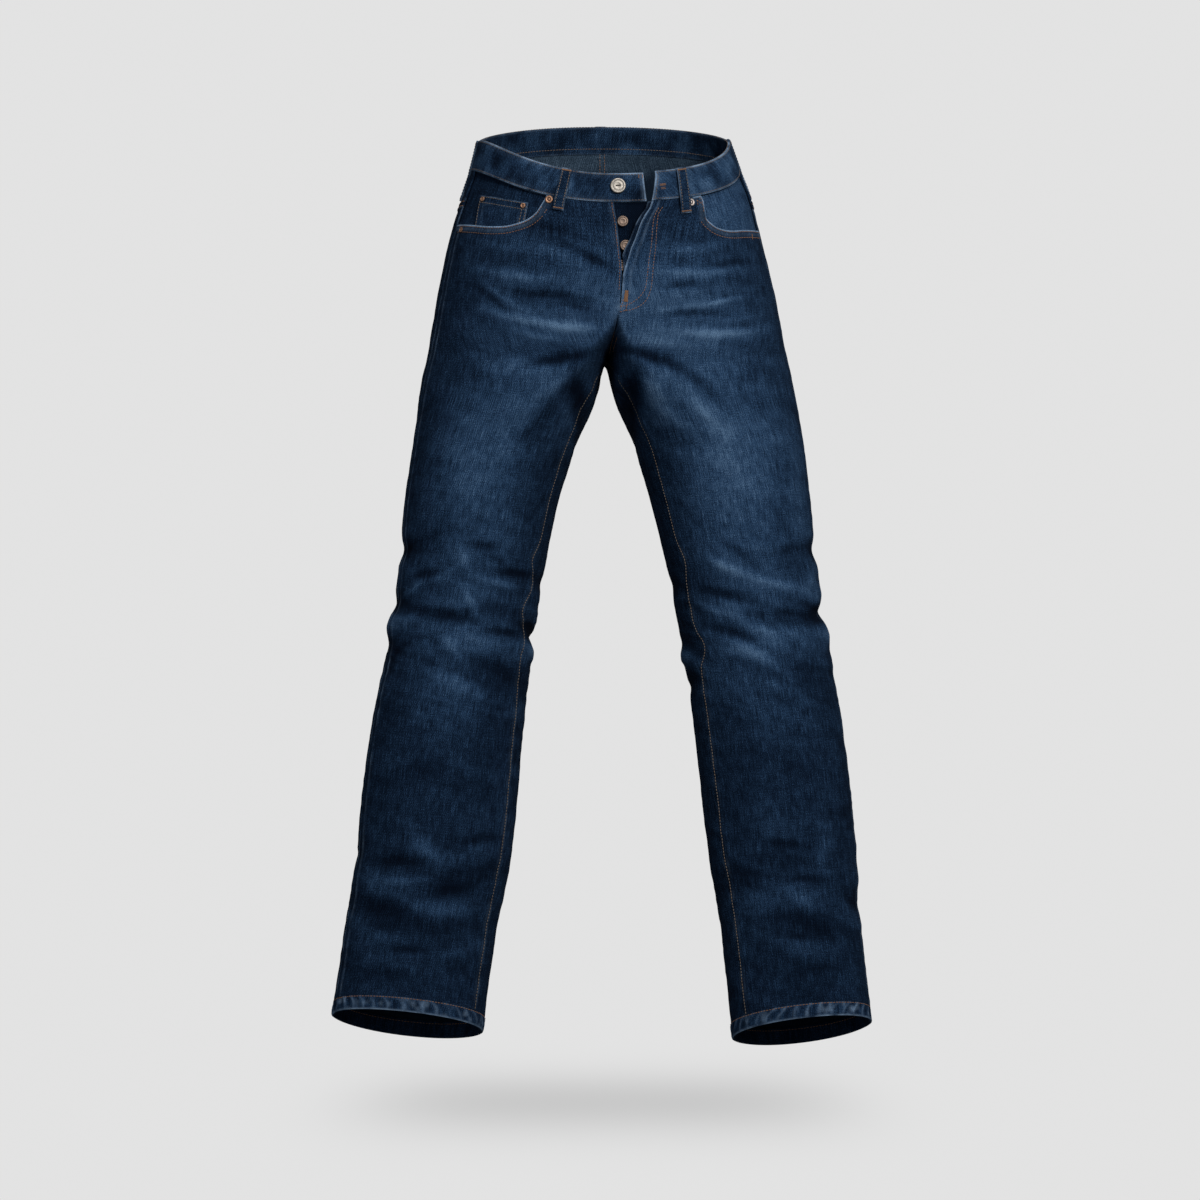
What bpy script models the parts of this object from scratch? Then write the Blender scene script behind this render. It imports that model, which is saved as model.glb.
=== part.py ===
"""Straight-leg five-pocket jeans with a button fly, filled out as if worn, with nobody in them.

Metres, +Z up. The front faces -Y, the wearer's left is +X, and the origin is the middle of the waist ring.
Every piece is cut out of one surface, the cloth's outer face. A point of it is given by a side (LEFT or RIGHT),
an angle round that side's section (0 at the outer side, 90 at the front, 180 at the inner side, -90 at the
back) and a height, which is the height of the section's outer end. Below the crotch a section is a whole ring
round one leg. Above it the section stops at the centre seam, so the two sides make the hip together.
"""
import math

import bpy
import numpy as np

MM = 0.001
RIGHT, LEFT = -1, 1  # the wearer's sides, and the sign of X on each
SIDE_NAMES = {RIGHT: "right", LEFT: "left"}

# Cloth walls
CLOTH = 1.5 * MM
BAND_CLOTH = 3.0 * MM
BAND_PROUD = 0.8 * MM  # how far the band's outer face stands out from the panels
HEM_CLOTH = 3.0 * MM
HEM_PROUD = 0.6 * MM
COIN_CLOTH = 1.2 * MM
GAP = 0.3 * MM  # between neighbouring pieces
LAYER_GAP = 0.8 * MM  # between layers that lie over each other, whose flat facets differ
HALF_GAP = GAP / 2

# Heights of the seams, at the outer side, from the waist's edge down
WAIST = 9.5 * MM
BAND_SEAM = -25 * MM
CROTCH = -232 * MM
HEM_HEIGHT = 17 * MM
LEG_END = {RIGHT: -960 * MM, LEFT: -967 * MM}
YOKE_SIDE = -66 * MM
YOKE_CENTRE = -92 * MM
FLY_END = -160 * MM

# Where the side seam and the inside-leg seam run, as angles from the outer and the inner side towards the front
SIDE_SEAM = {RIGHT: math.radians(16), LEFT: math.radians(3)}
INSEAM = {RIGHT: math.radians(28), LEFT: math.radians(36)}
FORK_HEIGHT = 30 * MM  # the inside-leg seam swings to its place over this much below the crotch
SIDE_DIP = {RIGHT: 2.6, LEFT: 1.0}  # how late the front's rows drop, from the sides to the middle
DIP_RISE = 100 * MM  # that lateness comes in over this much above the crotch
CROTCH_RISE = 62 * MM  # the centre seam rounds out over this much above the crotch
LEG_PARTING = 110 * MM  # the legs round apart from each other over this much below it
PARTED = -264 * MM  # from here down a leg's inner side is free of the other leg
# Where the inside-leg seam swerves towards the front at the knee's folds: its middle, half its width up the leg
# in millimetres, and how far in degrees
SWERVES = [dict(zip("side height width turn".split(), row)) for row in (
    (RIGHT, -457, 15, 7), (RIGHT, -511, 15, 9), (RIGHT, -563, 13, 3), (LEFT, -459, 17, 5), (LEFT, -553, 16, 8.5),
)]
LEG_ROLL = 0.024  # each metre down a leg, the ring's inner end hangs this much lower than its outer end
BACK_SHIFT = -4 * MM  # the centre-back seam stands this far off the middle, as the jeans are turned a little

# The opened fly: its free edge on the wearer's left stands forward of the buttons
FLAP_LIFT = 9 * MM
FLAP_REACH = 60 * MM
FACING_PEEP = 3 * MM


def columns(names, *rows):
    """A table in millimetres as named columns, its first column rising."""
    values = np.array(sorted(rows), dtype=float)
    return {name: values[:, i] for i, name in enumerate(names.split())}


# The outline from the front: how far each leg reaches out and in from the middle
OUTER = columns(
    "height right left",
    (12, 140, 139), (9.5, 140.5, 140), (-25, 149, 152.5), (-58, 160.5, 165.5), (-91, 171, 173.5), (-157, 185.5, 190),
    (-232, 198.5, 204.5), (-264, 205, 211.5), (-326, 213, 222), (-394, 222.5, 230), (-450, 227.5, 235),
    (-494, 231.5, 240), (-561, 241, 249.5), (-638, 255.5, 262), (-715, 266, 271.5), (-791, 273.5, 277),
    (-867, 284, 282), (-990, 301, 294.5),
)
INNER = columns(
    "height right left",
    (-232, 0.2, 0.2), (-240, 1, 1.5), (-245, 4.5, 9), (-264, 8, 12.5), (-326, 29, 31.5), (-394, 50.5, 51.5),
    (-450, 62.5, 65.5), (-494, 70, 75.5), (-561, 80, 87.5), (-638, 88.5, 98.5), (-715, 95, 107),
    (-791, 102.5, 115.5), (-867, 118, 128), (-990, 134.5, 141),
)
# The profile from the side: each ring's middle, its depth to the front and to the back, its front's rise for
# each millimetre forward and its back's drop for each millimetre back (in thousandths), and how square it is
# (in tenths; 20 is an ellipse)
PROFILE = columns(
    "height middle front back front_pitch back_pitch square",
    (12, 0, 96, 95, -478, -284, 22), (9.5, 0, 97, 97, -472, -286, 22), (-25, 1, 103, 104, -423, -301, 22.5),
    (-91, 3, 110, 114, -270, -230, 23), (-157, 4, 114, 122, -120, -110, 23), (-200, 3, 112.5, 121, -45, -45, 23),
    (-232, 2, 110.5, 114, 0, 0, 22.5), (-264, -3, 105.5, 106, 0, 0, 22), (-326, -13, 94, 95, 0, 0, 21.5),
    (-394, -25, 85, 86, 0, 0, 21.5), (-450, -35, 77, 78, 0, 0, 21.5), (-494, -43, 72, 72, 20, 20, 21.5),
    (-561, -55, 68, 69, 50, 50, 21.5), (-638, -69, 65, 67, 80, 80, 21.5), (-715, -83, 62, 64, 120, 120, 21.5),
    (-791, -96, 59, 61, 170, 170, 21), (-867, -110, 56, 58, 250, 250, 21), (-990, -128, 51, 53, 395, 395, 21),
)
# The centre-front seam's distance from the middle
CENTRE_FRONT = columns(
    "height x",
    (12, 11), (-28, 11.3), (-52, 14.5), (-72, 16), (-98, 18.5), (-122, 20), (-160, 18.5), (-200, 14), (-232, 8),
)
# The largest folds: a long soft hollow (depth below 0) or swell, its middle, half its length round the leg,
# half its width up the leg, and its rise for each millimetre round the leg towards the inner side (in tenths)
FOLDS = [dict(zip("side angle height length width lean depth".split(), row)) for row in (
    (RIGHT, 5, -450, 60, 12, 0, -5), (RIGHT, 10, -509, 55, 10, 1, -3.5), (RIGHT, 10, -534, 60, 12, 1, 3.5),
    (RIGHT, 0, -556, 50, 9, 0, -2), (RIGHT, 180, -483, 45, 9, 0, -2.5), (RIGHT, 178, -539, 60, 9, -2, -6),
    (RIGHT, 172, -557, 50, 9, -1, 2.5), (RIGHT, 85, -527, 55, 15, 2, -2.5), (RIGHT, 105, -574, 60, 14, -2, -2.5),
    (RIGHT, -90, -480, 80, 13, 0.5, -4), (RIGHT, -95, -512, 90, 13, -0.5, 3), (RIGHT, -88, -541, 85, 12, 0.5, -5),
    (RIGHT, 2, -785, 60, 15, 0, -2.5), (RIGHT, 120, -806, 60, 17, 2, -3), (RIGHT, 60, -850, 60, 15, -2, -3),
    (RIGHT, -90, -820, 80, 16, 1, -3.5), (RIGHT, 135, -276, 70, 11, -4, -3), (RIGHT, 150, -300, 60, 12, -5, -2.5),
    (LEFT, 0, -450, 60, 12, 0, -4), (LEFT, 5, -519, 60, 10, -1, -7), (LEFT, 5, -545, 55, 12, 0, 2),
    (LEFT, 180, -483, 45, 9, 0, -2.5), (LEFT, 178, -561, 50, 10, 0, 3.5), (LEFT, 180, -594, 50, 9, -1, -3),
    (LEFT, 90, -530, 60, 15, -1, -2.5), (LEFT, 80, -585, 60, 14, 2, -2.5), (LEFT, -90, -478, 85, 13, -0.5, -4),
    (LEFT, -92, -508, 90, 13, 0, 3), (LEFT, -86, -538, 80, 12, 0.5, -5), (LEFT, 2, -842, 60, 14, 1, -3),
    (LEFT, 110, -800, 65, 17, -1, -3), (LEFT, 70, -868, 60, 15, 2, -3), (LEFT, -95, -835, 80, 16, -1, -3.5),
    (LEFT, 138, -276, 70, 11, -4, -3), (LEFT, 152, -302, 60, 12, -5, -2.5),
)]

# Lines on the front, as X and Z seen from the front
POCKET_EDGE = {
    RIGHT: columns("x z", (-160, -88.5), (-131.5, -92), (-110.5, -93), (-97, -90.5), (-85.5, -86.5),
                   (-74.5, -78.5), (-67.5, -67), (-64.5, -58)),
    LEFT: columns("x z", (99, -58), (108, -77.5), (117, -88.5), (126.5, -94.5), (140.5, -96.5), (154.5, -94.5),
                  (173, -89)),
}
FLAP_EDGE = columns(
    "z x",
    (-41, 56.5), (-74, 50.3), (-83, 44.7), (-92, 40), (-110, 33.5), (-122, 28.5), (-152, 23), (-170, 19.5),
)
TAB_END = 45 * MM
COIN_POCKET = {"outer": (-139, -146), "inner": (-84.5, -91.5), "top": (-55.5, -67.5), "bottom": (-108, -108)}

# Fittings: where they sit, as X and Z seen from the front
WAIST_BUTTON = dict(x=15.3 * MM, z=-51 * MM, radius=8.5 * MM)
FLY_BUTTONS = [dict(x=x * MM, z=z * MM, radius=6 * MM) for x, z in ((20.5, -89.7), (23.5, -116), (23.5, -139))]
RIVETS = {
    "rivet_front_right": dict(x=-60.5 * MM, z=-65 * MM, radius=4.5 * MM, side=RIGHT),
    "rivet_front_left": dict(x=96 * MM, z=-67.5 * MM, radius=4.3 * MM, side=LEFT, on_flap=True),
    "rivet_side_right": dict(x=-158.5 * MM, z=-94 * MM, radius=3.2 * MM, side=RIGHT),
}
COIN_RIVETS = {
    "rivet_coin_outer": dict(x=-136 * MM, z=-60.5 * MM, radius=3 * MM, side=RIGHT),
    "rivet_coin_inner": dict(x=-90 * MM, z=-70.5 * MM, radius=3 * MM, side=RIGHT),
}
LOOP_WIDTH = 12 * MM
LOOP_CLOTH = 1.8 * MM
LOOP_STAND_OFF = 2.6 * MM
SIDE_STAND_OFF = 1.2 * MM
LOOP_TOP = -0.5 * MM  # where the loops end, above the band's edge
BACK_POCKET = dict(width=144 * MM, foot_width=122 * MM, side_height=114 * MM, height=138 * MM,
                   from_centre=40 * MM, below_yoke=20 * MM)
SHIELD_DEPTH = 2.6 * MM  # the button strip's depth behind the front's face, at the band
SHIELD_DIP = 4.2 * MM  # and how much deeper it lies lower down

# Colours and finishes
DENIM = (0.028, 0.055, 0.115, 1)
DENIM_LIGHT = (0.05, 0.085, 0.16, 1)
STEEL = (0.62, 0.60, 0.57, 1)
COPPER = (0.62, 0.32, 0.20, 1)


# ---- the garment's surface -------------------------------------------------------------------------------

def smooth(x, xs, ys):
    """A cubic through a table's rows that never overshoots between them. x and xs in the same unit."""
    step = np.diff(xs)
    rise = np.diff(ys) / step
    product = rise[:-1] * rise[1:]
    total = rise[:-1] + rise[1:]
    inner = np.where(product > 0, 2 * product / np.where(total == 0, 1, total), 0)
    slope = np.concatenate([rise[:1], inner, rise[-1:]])
    x = np.clip(x, xs[0], xs[-1])
    k = np.clip(np.searchsorted(xs, x) - 1, 0, len(step) - 1)
    t = (x - xs[k]) / step[k]
    a = (1 + 2 * t) * (1 - t) ** 2 * ys[k] + t * (1 - t) ** 2 * step[k] * slope[k]
    b = t * t * (3 - 2 * t) * ys[k + 1] + t * t * (t - 1) * step[k] * slope[k + 1]
    return a + b


def read(table, name, height):
    """A table's column at a height, both in metres."""
    return smooth(height / MM, table["height"], table[name]) * MM


def ease(t):
    t = np.clip(t, 0, 1)
    return t * t * (3 - 2 * t)


def power(value, exponent):
    return np.sign(value) * np.abs(value) ** exponent


def section(side, height):
    """Where a section is deepest in X, its reach out and in from there, and the drop of its inner end."""
    name = SIDE_NAMES[side]
    outer = read(OUTER, name, height)
    drop = LEG_ROLL * np.minimum(height - CROTCH, 0)
    joined = ease((height - CROTCH + LEG_PARTING) / (LEG_PARTING + CROTCH_RISE))
    inner = read(INNER, name, np.minimum(height, CROTCH) + drop) * (1 - joined)
    rise = np.clip((height - CROTCH) / CROTCH_RISE, 0, 0.98)
    calm = read(INNER, name, np.minimum(height, PARTED) + drop) * ease((CROTCH - height) / (CROTCH - PARTED))
    deepest = (outer + calm) / 2 * (1 - joined)
    return deepest, outer - deepest, (deepest - inner) / (1 - rise), drop


def squareness(height):
    return smooth(height / MM, PROFILE["height"], PROFILE["square"]) / 10


def centre_angle(side, height):
    """The angle where a section above the crotch reaches the centre seam; 180 degrees below it."""
    deepest, _, reach_in, _ = section(side, height)
    cosine = np.clip(-deepest / np.maximum(reach_in, HALF_GAP), -1, 0)
    return np.arccos(power(cosine, squareness(height) / 2))


def front_end(side, height):
    """The angle of a front panel's inner edge: the centre seam, then the inside-leg seam."""
    turn = INSEAM[side] * ease((CROTCH - height) / FORK_HEIGHT)
    for swerve in SWERVES:
        if swerve["side"] == side:
            near = np.exp(-((height / MM - swerve["height"]) / swerve["width"]) ** 2)
            turn = turn + math.radians(swerve["turn"]) * near
    return np.where(height < CROTCH, math.pi - turn, centre_angle(side, height))


def back_end(side, height):
    """The same edge for a back panel, reached from the outer side by way of the back."""
    return np.where(height < CROTCH, front_end(side, height) - 2 * math.pi, -centre_angle(side, height))


def spread(start, end, high_end, low_end, height, shares):
    """Angles of a panel's columns. Only the ones next to its inner edge follow the quick turn at the crotch."""
    below = ease((CROTCH + CROTCH_RISE - height) / (CROTCH_RISE + LEG_PARTING))
    calm = high_end + (low_end - high_end) * below
    return start + shares * (calm - start) + shares ** 5 * (end - calm)


def plain_point(side, angle, height):
    """The surface without its folds."""
    deepest, reach_out, reach_in, drop = section(side, height)
    exponent = 2 / squareness(height)
    across = power(np.cos(angle), exponent)
    forward = power(np.sin(angle), exponent)
    front, back = read(PROFILE, "front", height), read(PROFILE, "back", height)
    late = 1 + (SIDE_DIP[side] - 1) * ease((height - CROTCH) / DIP_RISE)
    front_rise = read(PROFILE, "front_pitch", height) / MM / 1000 * front * np.clip(forward, 0, 1) ** late
    back_drop = read(PROFILE, "back_pitch", height) / MM / 1000 * back * np.clip(-forward, 0, 1) ** 1.15
    x = deepest + np.where(across > 0, reach_out, reach_in) * across
    near_centre = np.exp(-(x / (80 * MM)) ** 2) * ease((height - CROTCH) / (30 * MM) + 1)
    front_shift = read(CENTRE_FRONT, "x", height) * np.sqrt(np.clip(forward, 0, 1))
    back_shift = BACK_SHIFT * np.sqrt(np.clip(-forward, 0, 1))
    return np.stack([
        side * x + (front_shift + back_shift) * near_centre,
        read(PROFILE, "middle", height) - np.where(forward > 0, front, back) * forward,
        height + drop * (1 - across) / 2 + front_rise - back_drop,
    ], axis=-1)


def relief(side, angle, height):
    """How far the folds move the cloth outwards."""
    radius = (read(OUTER, SIDE_NAMES[side], height) + 2 * read(PROFILE, "front", height)) / 4
    total = np.zeros(np.broadcast(angle, height).shape)
    for fold in FOLDS:
        if fold["side"] == side:
            turn = angle - math.radians(fold["angle"])
            turn = (turn + math.pi) % (2 * math.pi) - math.pi
            along = turn * radius / MM
            across = height / MM - fold["height"] - fold["lean"] / 10 * along
            bell = np.exp(-(along / fold["length"]) ** 2 - (across / fold["width"]) ** 2)
            total = total + fold["depth"] * MM * bell
    return total


def normal_of(function, side, angle, height):
    """The outward normal of a surface function, from its neighbours."""
    turn, rise = 2e-3, 4e-4
    round_it = function(side, angle + turn, height) - function(side, angle - turn, height)
    up_it = function(side, angle, height + rise) - function(side, angle, height - rise)
    normal = side * np.cross(up_it, round_it)
    return normal / np.linalg.norm(normal, axis=-1, keepdims=True)


def folded_point(side, angle, height):
    """The surface with its folds."""
    point = plain_point(side, angle, height)
    direction = normal_of(plain_point, side, angle, height)
    return point + direction * relief(side, angle, height)[..., None]


def flap_point(side, angle, height):
    """The surface where the open fly's free edge stands forward."""
    point = folded_point(side, angle, height)
    edge = smooth(point[..., 2] / MM, FLAP_EDGE["z"], FLAP_EDGE["x"]) * MM
    top = ease((height - FLY_END) / (BAND_SEAM - FLY_END))
    near = ease(1 - (point[..., 0] - edge) / FLAP_REACH) * (angle > 0)
    point[..., 1] -= FLAP_LIFT * top * near
    return point


def skin(side, angle, height, out=0.0, surface=folded_point):
    """A point of the cloth's outer face, moved out by so much."""
    angle, height = np.broadcast_arrays(np.asarray(angle, float), np.asarray(height, float))
    point = surface(side, angle, height)
    return point + normal_of(surface, side, angle, height) * np.asarray(out)[..., None]


def ring_place(ring, height):
    """Side and angle of a place round the whole hip: 0 centre front, 1 and -1 the sides, 2 and -2 centre back."""
    side = LEFT if ring >= 0 else RIGHT
    end = float(centre_angle(side, np.float64(height)))
    return side, end * (1 - abs(ring))


def ring_skin(ring, height, out=0.0, surface=folded_point):
    side, angle = ring_place(ring, height)
    return skin(side, angle, height, out, surface)


# ---- finding places seen from the front ------------------------------------------------------------------

def find_front(side, x, z, surface=folded_point):
    """Angle and height of the place on the front whose X and Z are given, in metres."""
    angles, heights = np.meshgrid(np.radians(np.arange(2, 179, 2.0)), np.arange(-0.30, 0.012, 0.003))
    grid = surface(side, angles, heights)
    inside = angles <= centre_angle(side, heights) + math.radians(25)
    miss = (grid[..., 0] - x) ** 2 + (grid[..., 2] - z) ** 2 + np.where(inside, 0, 1)
    k = np.unravel_index(np.argmin(miss), miss.shape)
    angle, height = angles[k], heights[k]
    for _ in range(6):
        here = surface(side, angle, height)
        turn = (surface(side, angle + 1e-4, height) - here) / 1e-4
        rise = (surface(side, angle, height + 1e-5) - here) / 1e-5
        matrix = np.array([[turn[0], rise[0]], [turn[2], rise[2]]])
        step = np.linalg.solve(matrix, np.array([x - here[0], z - here[2]]))
        angle += float(np.clip(step[0], -0.1, 0.1))
        height += float(np.clip(step[1], -0.01, 0.01))
    return angle, height


def pocket_line(side):
    """The pocket's edge as angles and heights, from the side seam to the band."""
    edge = POCKET_EDGE[side]
    order = slice(None) if side == RIGHT else slice(None, None, -1)
    places = [find_front(side, x * MM, z * MM) for x, z in zip(edge["x"][order], edge["z"][order])]
    angles = np.array([angle for angle, _ in places])
    heights = np.array([height for _, height in places])
    angles[0] = SIDE_SEAM[side]
    heights[-1] = BAND_SEAM
    return angles, heights


def flap_line():
    """The open fly's edge on the wearer's left as heights and angles, from the fly's end to the band."""
    places = [find_front(LEFT, x * MM, z * MM) for z, x in zip(FLAP_EDGE["z"], FLAP_EDGE["x"])]
    heights = np.array([height for _, height in places])
    angles = np.array([angle for angle, _ in places])
    return heights, angles


# ---- solids ----------------------------------------------------------------------------------------------

def material(name, colour, roughness, metallic=0.0):
    made = bpy.data.materials.new(name)
    made.use_nodes = True
    shader = made.node_tree.nodes["Principled BSDF"]
    shader.inputs["Base Color"].default_value = colour
    shader.inputs["Roughness"].default_value = roughness
    shader.inputs["Metallic"].default_value = metallic
    made.diffuse_color = colour
    return made


def add_solid(name, points, faces, finish):
    """One named object, with its faces turned out."""
    points = np.asarray(points, float)
    volume = 0.0
    for face in faces:
        for a, b in zip(face[1:-1], face[2:]):
            volume += np.dot(points[face[0]], np.cross(points[a], points[b]))
    if volume < 0:
        faces = [face[::-1] for face in faces]
    mesh = bpy.data.meshes.new(name)
    mesh.from_pydata(points.tolist(), [], [list(face) for face in faces])
    mesh.update()
    mesh.materials.append(finish)
    mesh.shade_smooth()
    mesh.set_sharp_from_angle(angle=math.radians(40))
    made = bpy.data.objects.new(name, mesh)
    bpy.context.scene.collection.objects.link(made)
    return made


def cloth_solid(name, outside, inside, finish, closed=False):
    """A wall between two grids of points, rows by columns. A closed one runs round a tube."""
    rows, cols = outside.shape[:2]
    points = np.concatenate([outside.reshape(-1, 3), inside.reshape(-1, 3)])
    shift = rows * cols
    spans = cols if closed else cols - 1

    def at(row, col):
        return row * cols + col % cols

    faces = []
    for row in range(rows - 1):
        for col in range(spans):
            quad = (at(row, col), at(row, col + 1), at(row + 1, col + 1), at(row + 1, col))
            faces.append(quad)
            faces.append(tuple(k + shift for k in quad[::-1]))
    rim = [(at(0, col + 1), at(0, col)) for col in range(spans)]
    rim += [(at(rows - 1, col), at(rows - 1, col + 1)) for col in range(spans)]
    if not closed:
        rim += [(at(row, 0), at(row + 1, 0)) for row in range(rows - 1)]
        rim += [(at(row + 1, cols - 1), at(row, cols - 1)) for row in range(rows - 1)]
    faces += [(a, b, b + shift, a + shift) for a, b in rim]
    return add_solid(name, points, faces, finish)


def wall(name, side, angles, heights, finish, outer=0.0, thick=CLOTH, surface=folded_point, closed=False):
    outside = skin(side, angles, heights, outer, surface)
    inside = skin(side, angles, heights, np.asarray(outer) - thick, surface)
    return cloth_solid(name, outside, inside, finish, closed)


def turned(name, centre, axis, profile, finish, steps=16):
    """A fitting turned about an axis that stands on the cloth. The profile is (radius, height) from the bottom."""
    axis = axis / np.linalg.norm(axis)
    across = np.cross(axis, (0, 0, 1.0))
    across /= np.linalg.norm(across)
    up = np.cross(axis, across)
    points = [centre + axis * profile[0][1]]
    for radius, lift in profile[1:-1]:
        for k in range(steps):
            turn = 2 * math.pi * k / steps
            points.append(centre + axis * lift + radius * (across * math.cos(turn) + up * math.sin(turn)))
    points.append(centre + axis * profile[-1][1])
    rings = len(profile) - 2
    faces = []
    for k in range(steps):
        n = (k + 1) % steps
        faces.append((0, 1 + n, 1 + k))
        for ring in range(rings - 1):
            a, b = 1 + ring * steps, 1 + (ring + 1) * steps
            faces.append((a + k, a + n, b + n, b + k))
        last = 1 + (rings - 1) * steps
        faces.append((last + k, last + n, len(points) - 1))
    return add_solid(name, points, faces, finish)


# ---- rows and columns ------------------------------------------------------------------------------------

def leg_heights(side):
    """Heights of the rows up a panel, closer together at the knee's folds and round the crotch."""
    foot = LEG_END[side] + HEM_HEIGHT + GAP
    calf = np.linspace(foot, -0.600, 9, endpoint=False)
    knee = np.linspace(-0.600, -0.435, 11, endpoint=False)
    thigh = np.linspace(-0.435, -0.290, 4, endpoint=False)
    fork = CROTCH + MM * np.array([-58, -42, -28, -18, -12, -7, -3, 0, 4, 11, 22, 38])
    hip = np.linspace(-0.174, BAND_SEAM - HALF_GAP, 8)
    return np.concatenate([calf, knee, thigh, fork, hip])


def panel_columns(count, ridge=0.045):
    """Shares of a panel's width, with a narrow strip for the seam at each edge."""
    return np.concatenate([[0], np.linspace(ridge, 1 - ridge, count - 2), [1]])


def fit_top(heights, tops, start):
    """Heights as a grid, with each column's rows above start squeezed to end at its own top."""
    grid = np.repeat(heights[:, None], len(tops), axis=1)
    share = np.clip((grid - start) / (heights[-1] - start), 0, 1)
    return np.where(grid > start, start + share * (tops[None, :] - start), grid)


# ---- the pieces ------------------------------------------------------------------------------------------

def seam_inset(height):
    """Half the gap at a seam as an angle, wider where the seams swing round the crotch."""
    swing = 1 + 3 * np.exp(-((height - CROTCH) / (18 * MM)) ** 2)
    return HALF_GAP * swing / (read(PROFILE, "front", height) * 0.9)


def front_panel(side, finish):
    heights = leg_heights(side)
    shares = panel_columns(11)
    line_angles, line_heights = pocket_line(side)
    fly_heights, fly_angles = flap_line()
    surface = flap_point if side == LEFT else folded_point

    def angles_at(grid):
        end = front_end(side, grid)
        cut = 0
        if side == LEFT:
            edge = smooth(grid, fly_heights, fly_angles)
            cut = np.where(grid > fly_heights[0], np.maximum(end - edge, 0), 0)
        inset = seam_inset(grid)
        high_end, low_end = math.pi / 2 - inset - cut, math.pi - INSEAM[side] - inset
        return spread(SIDE_SEAM[side] + inset, end - cut - inset, high_end, low_end, grid, shares[None, :])

    tops = np.full(len(shares), BAND_SEAM - HALF_GAP)
    for _ in range(8):
        angles = angles_at(np.broadcast_to(tops, (1, len(shares))))[0]
        tops = np.interp(angles, line_angles, line_heights - HALF_GAP)
    grid = fit_top(heights, tops, -0.128)
    return wall(f"front_{SIDE_NAMES[side]}", side, angles_at(grid), grid, finish, surface=surface)


def back_columns(side, count):
    """Shares of a back piece's width from the side seam, one of them at the section's outer end."""
    corner = SIDE_SEAM[side] / (SIDE_SEAM[side] + math.pi / 2)
    return np.concatenate([[0, corner / 2], np.linspace(corner, 1, count - 2)])


def yoke_seam(side, angle):
    """The yoke's lower seam, dropping from the side seam to the centre back."""
    share = np.clip((SIDE_SEAM[side] - angle) / (SIDE_SEAM[side] + math.pi / 2), 0, 1)
    return YOKE_SIDE + (YOKE_CENTRE - YOKE_SIDE) * share


def back_angles(side, grid, shares):
    inset = seam_inset(grid)
    high_end, low_end = inset - math.pi / 2, inset - math.pi - INSEAM[side]
    return spread(SIDE_SEAM[side] - inset, back_end(side, grid) + inset, high_end, low_end, grid, shares[None, :])


def back_panel(side, finish):
    shares = back_columns(side, 15)
    heights = leg_heights(side)
    tops = np.full(len(shares), YOKE_CENTRE)
    for _ in range(4):
        angles = back_angles(side, np.broadcast_to(tops, (1, len(shares))), shares)[0]
        tops = yoke_seam(side, angles) - HALF_GAP
    grid = fit_top(heights, tops, -0.150)
    return wall(f"back_{SIDE_NAMES[side]}", side, back_angles(side, grid, shares), grid, finish)


def yoke(side, finish):
    shares = back_columns(side, 14)
    angles = back_angles(side, np.full((1, len(shares)), YOKE_SIDE), shares)
    low = yoke_seam(side, angles[0]) + HALF_GAP
    high = BAND_SEAM - HALF_GAP
    grid = low + np.linspace(0, 1, 5)[:, None] * (high - low)
    return wall(f"yoke_{SIDE_NAMES[side]}", side, back_angles(side, grid, shares), grid, finish)


def waistband(finish):
    """One strip from the open fly's edge round the back to the button's tab."""
    low, high = BAND_SEAM + HALF_GAP, WAIST
    tab_angle, _ = find_front(LEFT, TAB_END, -0.055)
    last = 1 - tab_angle / (math.pi / 2)
    fly_heights, fly_angles = flap_line()
    outside, inside = [], []
    for height in np.linspace(low, high, 3):
        first = 1 - float(smooth(height, fly_heights, fly_angles)) / (math.pi / 2)
        rings = [(ring, flap_point) for ring in np.linspace(first, 1, 14)]
        rings += [(ring, flap_point) for ring in np.linspace(1, 2, 16)[1:]]
        rings += [(ring, folded_point) for ring in np.linspace(-2, 0, 31)[1:-1]]
        rings += [(last * k / 4, folded_point) for k in range(5)]
        outside.append([ring_skin(ring, height, BAND_PROUD, surface) for ring, surface in rings])
        inside.append([ring_skin(ring, height, BAND_PROUD - BAND_CLOTH, surface) for ring, surface in rings])
    return cloth_solid("waistband", np.array(outside), np.array(inside), finish)


def hem(side, finish):
    angles = np.linspace(0, 2 * math.pi, 28, endpoint=False)
    heights = LEG_END[side] + np.linspace(0, HEM_HEIGHT, 3)
    grid_angles, grid_heights = np.meshgrid(angles, heights)
    bulge = np.array([[0.5], [1.0], [0.3]]) * HEM_PROUD
    return wall(f"hem_{SIDE_NAMES[side]}", side, grid_angles, grid_heights, finish,
                outer=np.broadcast_to(bulge, grid_angles.shape), thick=HEM_CLOTH, closed=True)


def pocket_facing(side, finish):
    """The cloth behind a front pocket's opening; it reaches under the front panel and the back."""
    line_angles, _ = pocket_line(side)
    angles = np.linspace(SIDE_SEAM[side] - 0.05, line_angles[-1] + 0.16, 11)
    heights = np.linspace(-0.120, BAND_SEAM - HALF_GAP, 7)
    grid_angles, grid_heights = np.meshgrid(angles, heights)
    sunk = np.zeros_like(grid_angles)
    if side == RIGHT:
        sunk = (COIN_CLOTH + LAYER_GAP) * ease((grid_angles - SIDE_SEAM[side]) / 0.15)
    return wall(f"pocket_facing_{SIDE_NAMES[side]}", side, grid_angles, grid_heights, finish,
                outer=-CLOTH - LAYER_GAP - sunk, thick=COIN_CLOTH)


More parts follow.
